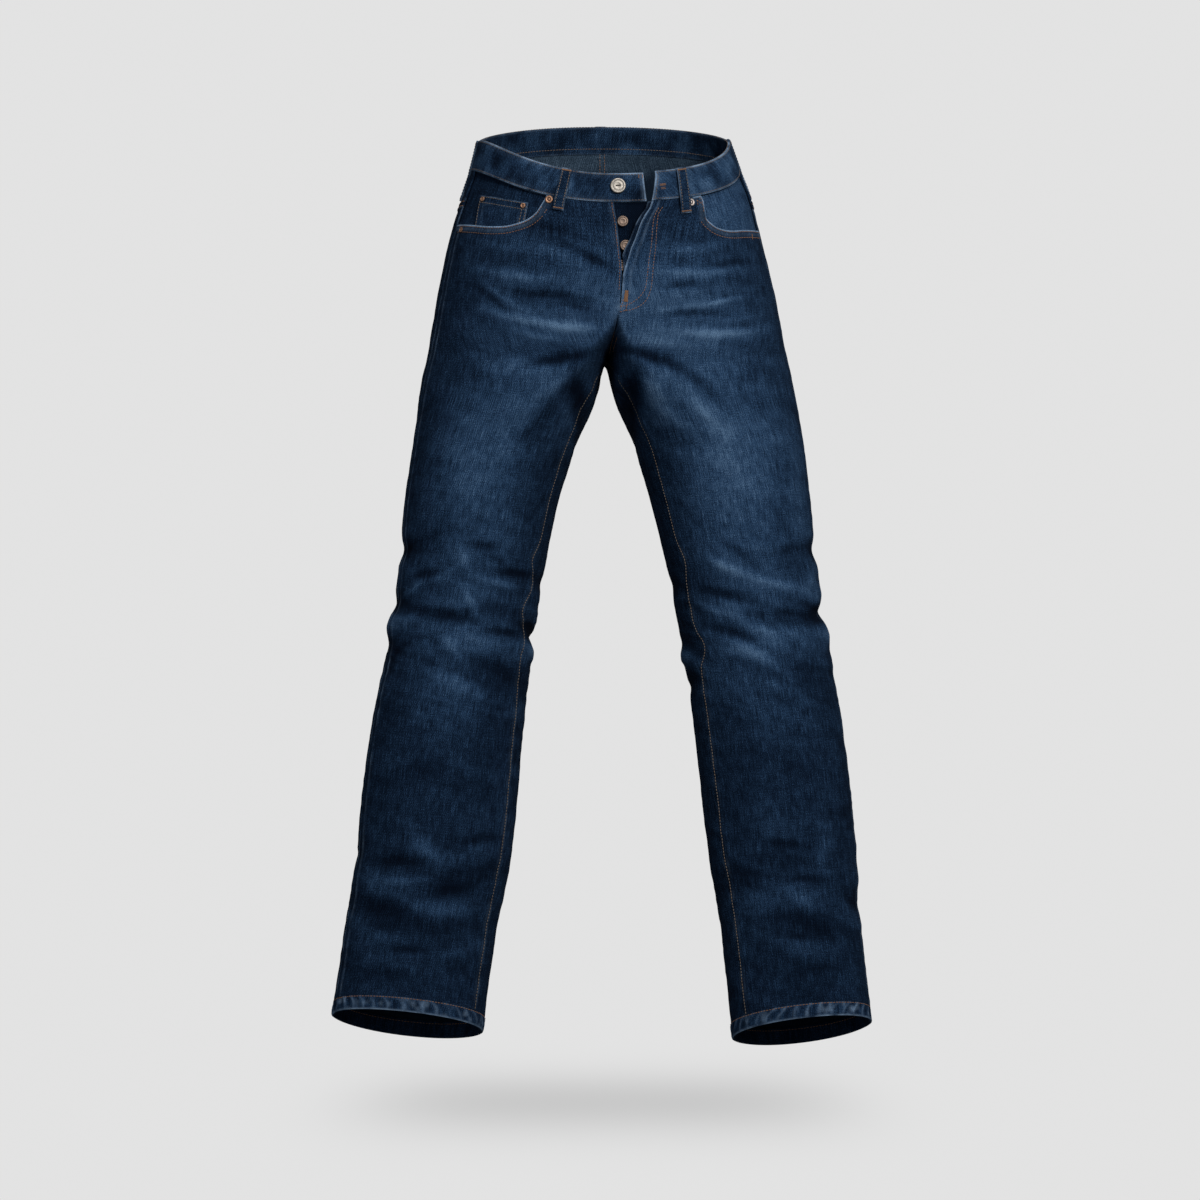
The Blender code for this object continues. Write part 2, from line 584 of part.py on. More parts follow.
def coin_pocket(finish):
    """A small patch on the wearer's right facing; its foot lies under the front panel."""
    corners = {}
    for row, level in (("top", COIN_POCKET["top"]), ("bottom", COIN_POCKET["bottom"])):
        for k, edge in enumerate(("outer", "inner")):
            x = COIN_POCKET[edge][0 if row == "top" else 1]
            corners[row, edge] = find_front(RIGHT, x * MM, level[k] * MM)
    down = np.linspace(0, 1, 7)[:, None, None]
    along = np.linspace(0, 1, 7)[None, :, None]
    top = np.array(corners["top", "outer"]) * (1 - along) + np.array(corners["top", "inner"]) * along
    foot = np.array(corners["bottom", "outer"]) * (1 - along) + np.array(corners["bottom", "inner"]) * along
    grid = foot * (1 - down) + top * down
    return wall("coin_pocket", RIGHT, grid[..., 0], grid[..., 1], finish,
                outer=-CLOTH - LAYER_GAP, thick=COIN_CLOTH)


def run_of(points):
    """Distance along a line of points, from its start."""
    return np.concatenate([[0], np.cumsum(np.linalg.norm(np.diff(points, axis=0), axis=1))])


def back_pocket(side, finish):
    """A plain five-sided patch below the yoke, set out by its distances over the cloth."""
    pocket = BACK_POCKET
    down = np.linspace(1, 0, 10)
    across = np.linspace(-0.5, 0.5, 11)
    angles, heights = np.zeros((10, 11)), np.zeros((10, 11))

    def angle_at(height, from_centre):
        fine_angles = np.linspace(-float(centre_angle(side, height)), 0, 60)
        return np.interp(from_centre, run_of(skin(side, fine_angles, height)), fine_angles)

    for col, share in enumerate(across):
        length = pocket["side_height"] + (pocket["height"] - pocket["side_height"]) * (1 - 2 * abs(share))
        top_angle = angle_at(YOKE_CENTRE, pocket["from_centre"] + (share + 0.5) * pocket["width"])
        fine_heights = np.linspace(float(yoke_seam(side, top_angle)), -0.30, 60)
        down_run = run_of(skin(side, top_angle, fine_heights))
        heights[:, col] = np.interp(pocket["below_yoke"] + length * down, down_run, fine_heights)
        for row, part in enumerate(down):
            width = pocket["width"] + (pocket["foot_width"] - pocket["width"]) * part
            from_centre = pocket["from_centre"] + pocket["width"] / 2 + share * width
            angles[row, col] = angle_at(heights[row, col], from_centre)
    return wall(f"back_pocket_{SIDE_NAMES[side]}", side, angles, heights, finish,
                outer=LAYER_GAP + CLOTH, thick=CLOTH)


def shield_depth(height):
    return SHIELD_DEPTH + SHIELD_DIP * ease((-38 * MM - height) / (75 * MM))


def fly_shield(finish):
    """The strip that carries the fly's buttons, from under the wearer's right front to behind the open flap."""
    heights = np.linspace(FLY_END - 4 * MM, BAND_SEAM - HALF_GAP, 10)
    right_edge, dipped, left_top, left_foot = -0.07, -0.02, 0.28, 0.12
    outside, inside = [], []
    for height in heights:
        share = (height - heights[0]) / (heights[-1] - heights[0])
        left_edge = left_foot + (left_top - left_foot) * share
        rings = np.concatenate([np.linspace(right_edge, dipped, 4), np.linspace(dipped, left_edge, 6)[1:]])
        start = CLOTH + LAYER_GAP
        fall = ease((rings - right_edge) / (dipped - right_edge))
        deep = start + (float(shield_depth(height)) - start) * fall
        outside.append([ring_skin(ring, height, -d) for ring, d in zip(rings, deep)])
        inside.append([ring_skin(ring, height, -d - CLOTH) for ring, d in zip(rings, deep)])
    return cloth_solid("fly_shield", np.array(outside), np.array(inside), finish)


def fly_facing(finish):
    """The buttonhole side of the fly, under the wearer's left front, a little proud of its edge."""
    fly_heights, fly_angles = flap_line()
    heights = np.linspace(FLY_END + 2 * MM, BAND_SEAM - HALF_GAP, 9)
    edge = smooth(heights, fly_heights, fly_angles)
    peep = FACING_PEEP / (110 * MM) * ease((heights - FLY_END) / (40 * MM))
    edge = np.minimum(edge + peep, front_end(LEFT, heights) - 0.004)
    angles = edge[:, None] - np.linspace(0, 1, 5)[None, :] * 0.26
    grid = np.repeat(heights[:, None], 5, axis=1)
    return wall("fly_facing", LEFT, angles, grid, finish, outer=-CLOTH - LAYER_GAP, thick=COIN_CLOTH,
                surface=flap_point)


def belt_loop(name, side, top, foot, finish, surface=folded_point, stand_off=LOOP_STAND_OFF):
    """A folded strip over the band, from its foot on the panel to the band's upper edge."""
    share = np.array([0, 0.1, 0.24, 0.45, 0.7, 0.86, 0.95, 1])
    lift = np.array([0, 0.2, 0.85, 1.0, 1.0, 0.95, 0.7, 0.5])
    angle = foot[0] + (top[0] - foot[0]) * share
    height = foot[1] + (top[1] - foot[1]) * share
    edges = skin(side, np.array([top[0], top[0] + 0.1]), BAND_SEAM)
    half = LOOP_WIDTH / 2 / (np.linalg.norm(edges[1] - edges[0]) / 0.1)
    lifts = BAND_PROUD + GAP + stand_off * lift
    lifts[0] = 2 * GAP

    def edge(offset, out):
        """A line up the loop, carried on over the centre-back seam where it crosses it."""
        turn = angle + offset
        over = turn < -math.pi / 2
        own = skin(side, np.maximum(turn, -math.pi / 2), height, out, surface)
        other = skin(-side, np.maximum(-math.pi - turn, -math.pi / 2), height, out, surface)
        return np.where(over[:, None], other, own)

    outside = np.stack([edge(offset, lifts + LOOP_CLOTH) for offset in (-half, 0, half)], axis=1)
    inside = np.stack([edge(offset, lifts) for offset in (-half, 0, half)], axis=1)
    return cloth_solid(name, outside, inside, finish)


def belt_loops(finish):
    top_height = WAIST + LOOP_TOP
    for side, top, foot in ((RIGHT, (-40, -31), (-50.5, -77)), (LEFT, (83.5, -33), (90, -80))):
        surface = flap_point if side == LEFT else folded_point
        top_angle, _ = find_front(side, top[0] * MM, top[1] * MM, surface)
        foot_place = find_front(side, foot[0] * MM, foot[1] * MM, surface)
        name = f"belt_loop_front_{SIDE_NAMES[side]}"
        belt_loop(name, side, (top_angle, top_height), foot_place, finish, surface)
    for side, angle in ((RIGHT, math.radians(-3)), (LEFT, math.radians(-9))):
        name = f"belt_loop_side_{SIDE_NAMES[side]}"
        belt_loop(name, side, (angle, top_height), (angle, -58 * MM), finish, stand_off=SIDE_STAND_OFF)
    angle = -math.pi / 2
    belt_loop("belt_loop_back", LEFT, (angle, top_height), (angle, -42 * MM), finish)


def fitting(name, spot, profile, finish, base):
    """A turned fitting on the front, its foot just clear of the face it stands on."""
    side = spot.get("side", LEFT)
    surface = flap_point if spot.get("on_flap") else folded_point
    angle, height = find_front(side, spot["x"], spot["z"], surface)
    foot = skin(side, angle, height, base(height) + GAP, surface)
    axis = normal_of(surface, side, np.float64(angle), np.float64(height))
    return turned(name, foot, axis, profile, finish)


def button_profile(radius):
    """A tack button: a short shank, a dished head with a rounded rim and a low centre."""
    shank = 0.4 * radius
    return [(0, 0), (shank, 0), (shank, 1.4 * MM), (0.9 * radius, 1.5 * MM), (radius, 2.2 * MM),
            (0.93 * radius, 3.0 * MM), (0.72 * radius, 3.3 * MM), (0.52 * radius, 2.7 * MM), (0, 2.9 * MM)]


def rivet_profile(radius):
    """A rivet's cap: a rounded ring with a nub in the middle."""
    return [(0, 0), (radius, 0), (radius, 0.4 * MM), (0.75 * radius, 1.1 * MM), (0.45 * radius, 1.0 * MM),
            (0.3 * radius, 0.5 * MM), (0, 0.9 * MM)]


def main():
    for old in list(bpy.data.objects):
        bpy.data.objects.remove(old)
    denim = material("denim", DENIM, 0.85)
    trim = material("denim_trim", DENIM_LIGHT, 0.85)
    steel = material("button_steel", STEEL, 0.35, 1.0)
    copper = material("rivet_copper", COPPER, 0.4, 1.0)
    for side in (RIGHT, LEFT):
        front_panel(side, denim)
        back_panel(side, denim)
        yoke(side, denim)
        pocket_facing(side, denim)
        back_pocket(side, denim)
        hem(side, trim)
    waistband(trim)
    coin_pocket(denim)
    fly_shield(trim)
    fly_facing(trim)
    belt_loops(trim)
    profile = button_profile(WAIST_BUTTON["radius"])
    fitting("waist_button", WAIST_BUTTON, profile, steel, lambda height: BAND_PROUD)
    for number, spot in enumerate(FLY_BUTTONS, start=1):
        profile = button_profile(spot["radius"])
        fitting(f"fly_button_{number}", spot, profile, copper, lambda height: 0.2 * MM - shield_depth(height))
    for name, spot in RIVETS.items():
        fitting(name, spot, rivet_profile(spot["radius"]), copper, lambda height: 0)
    for name, spot in COIN_RIVETS.items():
        fitting(name, spot, rivet_profile(spot["radius"]), copper, lambda height: -CLOTH - LAYER_GAP)


main()
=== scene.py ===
"""The looks of the straight-leg jeans: fine cloth with its folds, sewing, wear and weave, and the photo's view.

Metres, +Z up, the front faces -Y. The tables and the surface are the ones that the CAD is made from; here they
are read at more places, with finer folds, and every piece of cloth is a thin closed mesh that replaces its solid.
"""
import math

import bpy
import numpy as np
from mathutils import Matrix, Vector
from mathutils.bvhtree import BVHTree

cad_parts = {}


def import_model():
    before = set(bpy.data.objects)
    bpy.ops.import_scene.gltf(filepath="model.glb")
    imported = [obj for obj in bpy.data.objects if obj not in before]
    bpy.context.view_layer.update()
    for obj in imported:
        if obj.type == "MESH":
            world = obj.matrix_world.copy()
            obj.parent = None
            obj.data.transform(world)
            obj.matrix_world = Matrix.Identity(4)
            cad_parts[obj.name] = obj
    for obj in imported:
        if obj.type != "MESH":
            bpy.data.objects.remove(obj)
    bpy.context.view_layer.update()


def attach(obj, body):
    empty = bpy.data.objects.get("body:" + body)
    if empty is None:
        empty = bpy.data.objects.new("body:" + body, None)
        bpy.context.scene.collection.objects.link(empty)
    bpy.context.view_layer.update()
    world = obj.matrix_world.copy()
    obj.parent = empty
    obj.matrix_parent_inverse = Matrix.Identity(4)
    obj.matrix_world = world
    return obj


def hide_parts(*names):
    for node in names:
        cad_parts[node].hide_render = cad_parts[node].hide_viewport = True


MM = 0.001
RIGHT, LEFT = -1, 1  # the wearer's sides, and the sign of X on each
SIDE_NAMES = {RIGHT: "right", LEFT: "left"}


def columns(names, *rows):
    """A table in millimetres as named columns, its first column rising."""
    values = np.array(sorted(rows), dtype=float)
    return {name: values[:, i] for i, name in enumerate(names.split())}


def rows_of(names, *rows):
    """A table as rows, each with its values by name."""
    return [dict(zip(names.split(), row)) for row in rows]


# Cloth walls
CLOTH = 1.5 * MM
BAND_CLOTH = 3.0 * MM
BAND_PROUD = 0.8 * MM  # how far the band's outer face stands out from the panels
HEM_CLOTH = 3.0 * MM
HEM_TUCK = 1.2 * MM  # how far the panels run down inside the hem
COIN_CLOTH = 1.2 * MM
GAP = 0.3 * MM  # between neighbouring pieces
LAYER_GAP = 0.8 * MM  # between layers that lie over each other, whose flat facets differ
HALF_GAP = GAP / 2

# Heights of the seams, at the outer side, from the waist's edge down
WAIST = 9.5 * MM
BAND_SEAM = -25 * MM
CROTCH = -232 * MM
HEM_HEIGHT = 17 * MM
LEG_END = {RIGHT: -960 * MM, LEFT: -967 * MM}
YOKE_SIDE = -66 * MM
YOKE_CENTRE = -92 * MM
FLY_END = -160 * MM

# Where the side seam and the inside-leg seam run, as angles from the outer and the inner side towards the front
SIDE_SEAM = {RIGHT: math.radians(16), LEFT: math.radians(3)}
INSEAM = {RIGHT: math.radians(28), LEFT: math.radians(36)}
FORK_HEIGHT = 30 * MM  # the inside-leg seam swings to its place over this much below the crotch
SIDE_DIP = {RIGHT: 2.6, LEFT: 1.0}  # how late the front's rows drop, from the sides to the middle
DIP_RISE = 100 * MM  # that lateness comes in over this much above the crotch
CROTCH_RISE = 62 * MM  # the centre seam rounds out over this much above the crotch
LEG_PARTING = 110 * MM  # the legs round apart from each other over this much below it
PARTED = -264 * MM  # from here down a leg's inner side is free of the other leg
# Where the inside-leg seam swerves towards the front at the knee's folds: its middle, half its width up the leg
# in millimetres, and how far in degrees
SWERVES = rows_of(
    "side height width turn",
    (RIGHT, -457, 15, 7), (RIGHT, -511, 15, 9), (RIGHT, -563, 13, 3), (LEFT, -459, 17, 5), (LEFT, -553, 16, 8.5),
)
LEG_ROLL = 0.024  # each metre down a leg, the ring's inner end hangs this much lower than its outer end
BACK_SHIFT = -4 * MM  # the centre-back seam stands this far off the middle, as the jeans are turned a little

# The opened fly: its free edge on the wearer's left stands forward of the buttons
FLAP_LIFT = 9 * MM
FLAP_REACH = 60 * MM
FACING_PEEP = 3 * MM


# The outline from the front: how far each leg reaches out and in from the middle
OUTER = columns(
    "height right left",
    (12, 140, 139), (9.5, 140.5, 140), (-25, 149, 152.5), (-58, 160.5, 165.5), (-91, 171, 173.5), (-157, 185.5, 190),
    (-232, 198.5, 204.5), (-264, 205, 211.5), (-326, 213, 222), (-394, 222.5, 230), (-450, 227.5, 235),
    (-494, 231.5, 240), (-561, 241, 249.5), (-638, 255.5, 262), (-715, 266, 271.5), (-791, 273.5, 277),
    (-867, 284, 282), (-990, 301, 294.5),
)
INNER = columns(
    "height right left",
    (-232, 0.2, 0.2), (-240, 1, 1.5), (-245, 4.5, 9), (-264, 8, 12.5), (-326, 29, 31.5), (-394, 50.5, 51.5),
    (-450, 62.5, 65.5), (-494, 70, 75.5), (-561, 80, 87.5), (-638, 88.5, 98.5), (-715, 95, 107),
    (-791, 102.5, 115.5), (-867, 118, 128), (-990, 134.5, 141),
)
# The profile from the side: each ring's middle, its depth to the front and to the back, its front's rise for
# each millimetre forward and its back's drop for each millimetre back (in thousandths), and how square it is
# (in tenths; 20 is an ellipse)
PROFILE = columns(
    "height middle front back front_pitch back_pitch square",
    (12, 0, 96, 95, -478, -284, 22), (9.5, 0, 97, 97, -472, -286, 22), (-25, 1, 103, 104, -423, -301, 22.5),
    (-91, 3, 110, 114, -270, -230, 23), (-157, 4, 114, 122, -120, -110, 23), (-200, 3, 112.5, 121, -45, -45, 23),
    (-232, 2, 110.5, 114, 0, 0, 22.5), (-264, -3, 105.5, 106, 0, 0, 22), (-326, -13, 94, 95, 0, 0, 21.5),
    (-394, -25, 85, 86, 0, 0, 21.5), (-450, -35, 77, 78, 0, 0, 21.5), (-494, -43, 72, 72, 20, 20, 21.5),
    (-561, -55, 68, 69, 50, 50, 21.5), (-638, -69, 65, 67, 80, 80, 21.5), (-715, -83, 62, 64, 120, 120, 21.5),
    (-791, -96, 59, 61, 170, 170, 21), (-867, -110, 56, 58, 250, 250, 21), (-990, -128, 51, 53, 395, 395, 21),
)
# The centre-front seam's distance from the middle
CENTRE_FRONT = columns(
    "height x",
    (12, 11), (-28, 11.3), (-52, 14.5), (-72, 16), (-98, 18.5), (-122, 20), (-160, 18.5), (-200, 14), (-232, 8),
)
# The largest folds: a long soft hollow (depth below 0) or swell, its middle, half its length round the leg,
# half its width up the leg, and its rise for each millimetre round the leg towards the inner side (in tenths)
FOLD_COLUMNS = "side angle height length width lean depth"
FOLDS = rows_of(
    FOLD_COLUMNS,
    (RIGHT, 5, -450, 60, 12, 0, -5), (RIGHT, 10, -509, 55, 10, 1, -3.5), (RIGHT, 10, -534, 60, 12, 1, 3.5),
    (RIGHT, 0, -556, 50, 9, 0, -2), (RIGHT, 180, -483, 45, 9, 0, -2.5), (RIGHT, 178, -539, 60, 9, -2, -6),
    (RIGHT, 172, -557, 50, 9, -1, 2.5), (RIGHT, 85, -527, 55, 15, 2, -2.5), (RIGHT, 105, -574, 60, 14, -2, -2.5),
    (RIGHT, -90, -480, 80, 13, 0.5, -4), (RIGHT, -95, -512, 90, 13, -0.5, 3), (RIGHT, -88, -541, 85, 12, 0.5, -5),
    (RIGHT, 2, -785, 60, 15, 0, -2.5), (RIGHT, 120, -806, 60, 17, 2, -3), (RIGHT, 60, -850, 60, 15, -2, -3),
    (RIGHT, -90, -820, 80, 16, 1, -3.5), (RIGHT, 135, -276, 70, 11, -4, -3), (RIGHT, 150, -300, 60, 12, -5, -2.5),
    (LEFT, 0, -450, 60, 12, 0, -4), (LEFT, 5, -519, 60, 10, -1, -7), (LEFT, 5, -545, 55, 12, 0, 2),
    (LEFT, 180, -483, 45, 9, 0, -2.5), (LEFT, 178, -561, 50, 10, 0, 3.5), (LEFT, 180, -594, 50, 9, -1, -3),
    (LEFT, 90, -530, 60, 15, -1, -2.5), (LEFT, 80, -585, 60, 14, 2, -2.5), (LEFT, -90, -478, 85, 13, -0.5, -4),
    (LEFT, -92, -508, 90, 13, 0, 3), (LEFT, -86, -538, 80, 12, 0.5, -5), (LEFT, 2, -842, 60, 14, 1, -3),
    (LEFT, 110, -800, 65, 17, -1, -3), (LEFT, 70, -868, 60, 15, 2, -3), (LEFT, -95, -835, 80, 16, -1, -3.5),
    (LEFT, 138, -276, 70, 11, -4, -3), (LEFT, 152, -302, 60, 12, -5, -2.5),
)

# Lines on the front, as X and Z seen from the front
POCKET_EDGE = {
    RIGHT: columns("x z", (-160, -88.5), (-131.5, -92), (-110.5, -93), (-97, -90.5), (-85.5, -86.5),
                   (-74.5, -78.5), (-67.5, -67), (-64.5, -58)),
    LEFT: columns("x z", (99, -58), (108, -77.5), (117, -88.5), (126.5, -94.5), (140.5, -96.5), (154.5, -94.5),
                  (173, -89)),
}
FLAP_EDGE = columns(
    "z x",
    (-41, 56.5), (-74, 50.3), (-83, 44.7), (-92, 40), (-110, 33.5), (-122, 28.5), (-152, 23), (-170, 19.5),
)
TAB_END = 45 * MM
COIN_POCKET = {"outer": (-139, -146), "inner": (-84.5, -91.5), "top": (-55.5, -67.5), "bottom": (-108, -108)}

# Fittings: where they sit, as X and Z seen from the front
WAIST_BUTTON = dict(x=15.3 * MM, z=-51 * MM, radius=8.5 * MM)
FLY_BUTTONS = [dict(x=x * MM, z=z * MM, radius=6 * MM) for x, z in ((20.5, -89.7), (23.5, -116), (23.5, -139))]
RIVETS = {
    "rivet_front_right": dict(x=-60.5 * MM, z=-65 * MM, radius=4.5 * MM, side=RIGHT),
    "rivet_front_left": dict(x=96 * MM, z=-67.5 * MM, radius=4.3 * MM, side=LEFT, on_flap=True),
    "rivet_side_right": dict(x=-158.5 * MM, z=-94 * MM, radius=3.2 * MM, side=RIGHT),
    "rivet_coin_outer": dict(x=-136 * MM, z=-60.5 * MM, radius=3 * MM, side=RIGHT),
    "rivet_coin_inner": dict(x=-90 * MM, z=-70.5 * MM, radius=3 * MM, side=RIGHT),
}
LOOP_WIDTH = 12 * MM
LOOP_CLOTH = 1.8 * MM
LOOP_STAND_OFF = 2.6 * MM
SIDE_STAND_OFF = 0.36 * MM
LOOP_TOP = -0.5 * MM  # where the loops end, above the band's edge
BACK_POCKET = dict(width=144 * MM, foot_width=122 * MM, side_height=114 * MM, height=138 * MM,
                   from_centre=40 * MM, below_yoke=20 * MM)
SHIELD_DEPTH = 2.6 * MM  # the button strip's depth behind the front's face, at the band
SHIELD_DIP = 4.2 * MM  # and how much deeper it lies lower down
INSIDE_SHADE_TOP = -8 * MM  # below this height the inside is darkened as painted shade, which comes in over this much
INSIDE_SHADE_OVER = 22 * MM  # which comes in over this much


# ---- the garment's surface -------------------------------------------------------------------------------

def smooth(x, xs, ys):
    """A cubic through a table's rows that never overshoots between them. x and xs in the same unit."""
    step = np.diff(xs)
    rise = np.diff(ys) / step
    product = rise[:-1] * rise[1:]
    total = rise[:-1] + rise[1:]
    inner = np.where(product > 0, 2 * product / np.where(total == 0, 1, total), 0)
    slope = np.concatenate([rise[:1], inner, rise[-1:]])
    x = np.clip(x, xs[0], xs[-1])
    k = np.clip(np.searchsorted(xs, x) - 1, 0, len(step) - 1)
    t = (x - xs[k]) / step[k]
    a = (1 + 2 * t) * (1 - t) ** 2 * ys[k] + t * (1 - t) ** 2 * step[k] * slope[k]
    b = t * t * (3 - 2 * t) * ys[k + 1] + t * t * (t - 1) * step[k] * slope[k + 1]
    return a + b


def read(table, name, height):
    """A table's column at a height, both in metres."""
    return smooth(height / MM, table["height"], table[name]) * MM


def ease(t):
    t = np.clip(t, 0, 1)
    return t * t * (3 - 2 * t)


def power(value, exponent):
    return np.sign(value) * np.abs(value) ** exponent


def unit(vectors):
    """The same directions at length one."""
    return vectors / np.maximum(np.linalg.norm(vectors, axis=-1, keepdims=True), 1e-12)


def run_of(points, axis=0):
    """Each point's distance along its line, from the line's first point."""
    steps = np.linalg.norm(np.diff(points, axis=axis), axis=-1)
    return np.cumsum(np.insert(steps, 0, 0, axis=axis), axis=axis)


def section(side, height):
    """Where a section is deepest in X, its reach out and in from there, and the drop of its inner end."""
    name = SIDE_NAMES[side]
    outer = read(OUTER, name, height)
    drop = LEG_ROLL * np.minimum(height - CROTCH, 0)
    joined = ease((height - CROTCH + LEG_PARTING) / (LEG_PARTING + CROTCH_RISE))
    inner = read(INNER, name, np.minimum(height, CROTCH) + drop) * (1 - joined)
    rise = np.clip((height - CROTCH) / CROTCH_RISE, 0, 0.98)
    calm = read(INNER, name, np.minimum(height, PARTED) + drop) * ease((CROTCH - height) / (CROTCH - PARTED))
    deepest = (outer + calm) / 2 * (1 - joined)
    return deepest, outer - deepest, (deepest - inner) / (1 - rise), drop


def squareness(height):
    return smooth(height / MM, PROFILE["height"], PROFILE["square"]) / 10


def centre_angle(side, height):
    """The angle where a section above the crotch reaches the centre seam; 180 degrees below it."""
    deepest, _, reach_in, _ = section(side, height)
    cosine = np.clip(-deepest / np.maximum(reach_in, HALF_GAP), -1, 0)
    return np.arccos(power(cosine, squareness(height) / 2))


def front_end(side, height):
    """The angle of a front panel's inner edge: the centre seam, then the inside-leg seam."""
    turn = INSEAM[side] * ease((CROTCH - height) / FORK_HEIGHT)
    for swerve in SWERVES:
        if swerve["side"] == side:
            near = np.exp(-((height / MM - swerve["height"]) / swerve["width"]) ** 2)
            turn = turn + math.radians(swerve["turn"]) * near
    return np.where(height < CROTCH, math.pi - turn, centre_angle(side, height))


def back_end(side, height):
    """The same edge for a back panel, reached from the outer side by way of the back."""
    return np.where(height < CROTCH, front_end(side, height) - 2 * math.pi, -centre_angle(side, height))


def spread(start, end, high_end, low_end, height, shares):
    """Angles of a panel's columns. Only the ones next to its inner edge follow the quick turn at the crotch."""
    below = ease((CROTCH + CROTCH_RISE - height) / (CROTCH_RISE + LEG_PARTING))
    calm = high_end + (low_end - high_end) * below
    return start + shares * (calm - start) + shares ** 5 * (end - calm)


def plain_point(side, angle, height):
    """The surface without its folds."""
    deepest, reach_out, reach_in, drop = section(side, height)
    exponent = 2 / squareness(height)
    across = power(np.cos(angle), exponent)
    forward = power(np.sin(angle), exponent)
    front, back = read(PROFILE, "front", height), read(PROFILE, "back", height)
    late = 1 + (SIDE_DIP[side] - 1) * ease((height - CROTCH) / DIP_RISE)
    front_rise = read(PROFILE, "front_pitch", height) / MM / 1000 * front * np.clip(forward, 0, 1) ** late
    back_drop = read(PROFILE, "back_pitch", height) / MM / 1000 * back * np.clip(-forward, 0, 1) ** 1.15
    x = deepest + np.where(across > 0, reach_out, reach_in) * across
    near_centre = np.exp(-(x / (80 * MM)) ** 2) * ease((height - CROTCH) / (30 * MM) + 1)
    front_shift = read(CENTRE_FRONT, "x", height) * np.sqrt(np.clip(forward, 0, 1))
    back_shift = BACK_SHIFT * np.sqrt(np.clip(-forward, 0, 1))
    return np.stack([
        side * x + (front_shift + back_shift) * near_centre,
        read(PROFILE, "middle", height) - np.where(forward > 0, front, back) * forward,
        height + drop * (1 - across) / 2 + front_rise - back_drop,
    ], axis=-1)


def bells(rows, side, angle, height):
    """The sum of a table's folds at places on one side, in the table's own unit."""
    radius = (read(OUTER, SIDE_NAMES[side], height) + 2 * read(PROFILE, "front", height)) / 4
    total = np.zeros(np.broadcast(angle, height).shape)
    for row in rows:
        if row["side"] == side:
            turn = (angle - math.radians(row["angle"]) + math.pi) % (2 * math.pi) - math.pi
            along = turn * radius / MM
            across = height / MM - row["height"] - row["lean"] / 10 * along
            total = total + row["depth"] * np.exp(-(along / row["length"]) ** 2 - (across / row["width"]) ** 2)
    return total


def relief(side, angle, height):
    """How far the largest folds move the cloth outwards."""
    return bells(FOLDS, side, angle, height) * MM


def normal_of(function, side, angle, height):
    """The outward normal of a surface function, from its neighbours."""
    turn, rise = 2e-3, 4e-4
    round_it = function(side, angle + turn, height) - function(side, angle - turn, height)
    up_it = function(side, angle, height + rise) - function(side, angle, height - rise)
    return unit(side * np.cross(up_it, round_it))


def folded(side, angle, height):
    """The surface with its folds, and which way is out."""
    outward = normal_of(plain_point, side, angle, height)
    return plain_point(side, angle, height) + outward * relief(side, angle, height)[..., None], outward


def folded_point(side, angle, height):
    return folded(side, angle, height)[0]


def stand_forward(point, angle, height):
    """The open fly's free edge moved forward, in place."""
    edge = smooth(point[..., 2] / MM, FLAP_EDGE["z"], FLAP_EDGE["x"]) * MM
    top = ease((height - FLY_END) / (BAND_SEAM - FLY_END))
    near = ease(1 - (point[..., 0] - edge) / FLAP_REACH) * (angle > 0)
    point[..., 1] -= FLAP_LIFT * top * near


def flap_point(side, angle, height):
    """The surface where the open fly's free edge stands forward."""
    point = folded_point(side, angle, height)
    stand_forward(point, angle, height)
    return point


def skin(side, angle, height, out=0.0, surface=folded_point):
    """A point of the cloth's outer face, moved out by so much."""
    angle, height = np.broadcast_arrays(np.asarray(angle, float), np.asarray(height, float))
    point = surface(side, angle, height)
    return point + normal_of(surface, side, angle, height) * np.asarray(out)[..., None]


# ---- finding places seen from the front ------------------------------------------------------------------

def find_front(side, x, z, surface=folded_point):
    """Angle and height of the place on the front whose X and Z are given, in metres."""
    angles, heights = np.meshgrid(np.radians(np.arange(2, 179, 2.0)), np.arange(-0.30, 0.012, 0.003))
    grid = surface(side, angles, heights)
    inside = angles <= centre_angle(side, heights) + math.radians(25)
    miss = (grid[..., 0] - x) ** 2 + (grid[..., 2] - z) ** 2 + np.where(inside, 0, 1)
    k = np.unravel_index(np.argmin(miss), miss.shape)
    angle, height = angles[k], heights[k]
    for _ in range(6):
        here = surface(side, angle, height)
        turn = (surface(side, angle + 1e-4, height) - here) / 1e-4
        rise = (surface(side, angle, height + 1e-5) - here) / 1e-5
        matrix = np.array([[turn[0], rise[0]], [turn[2], rise[2]]])
        step = np.linalg.solve(matrix, np.array([x - here[0], z - here[2]]))
        angle += np.clip(step[0], -0.1, 0.1)
        height += np.clip(step[1], -0.01, 0.01)
    return angle, height


def pocket_line(side):
    """The pocket's edge as angles and heights, from the side seam to the band."""
    edge = POCKET_EDGE[side]
    order = slice(None) if side == RIGHT else slice(None, None, -1)
    places = [find_front(side, x * MM, z * MM) for x, z in zip(edge["x"][order], edge["z"][order])]
    angles, heights = np.array(places).T
    angles[0] = SIDE_SEAM[side]
    heights[-1] = BAND_SEAM
    return angles, heights


def flap_line():
    """The open fly's edge on the wearer's left as heights and angles, from the fly's end to the band."""
    places = [find_front(LEFT, x * MM, z * MM) for z, x in zip(FLAP_EDGE["z"], FLAP_EDGE["x"])]
    angles, heights = np.array(places).T
    return heights, angles


# ---- finer form ------------------------------------------------------------------------------------------

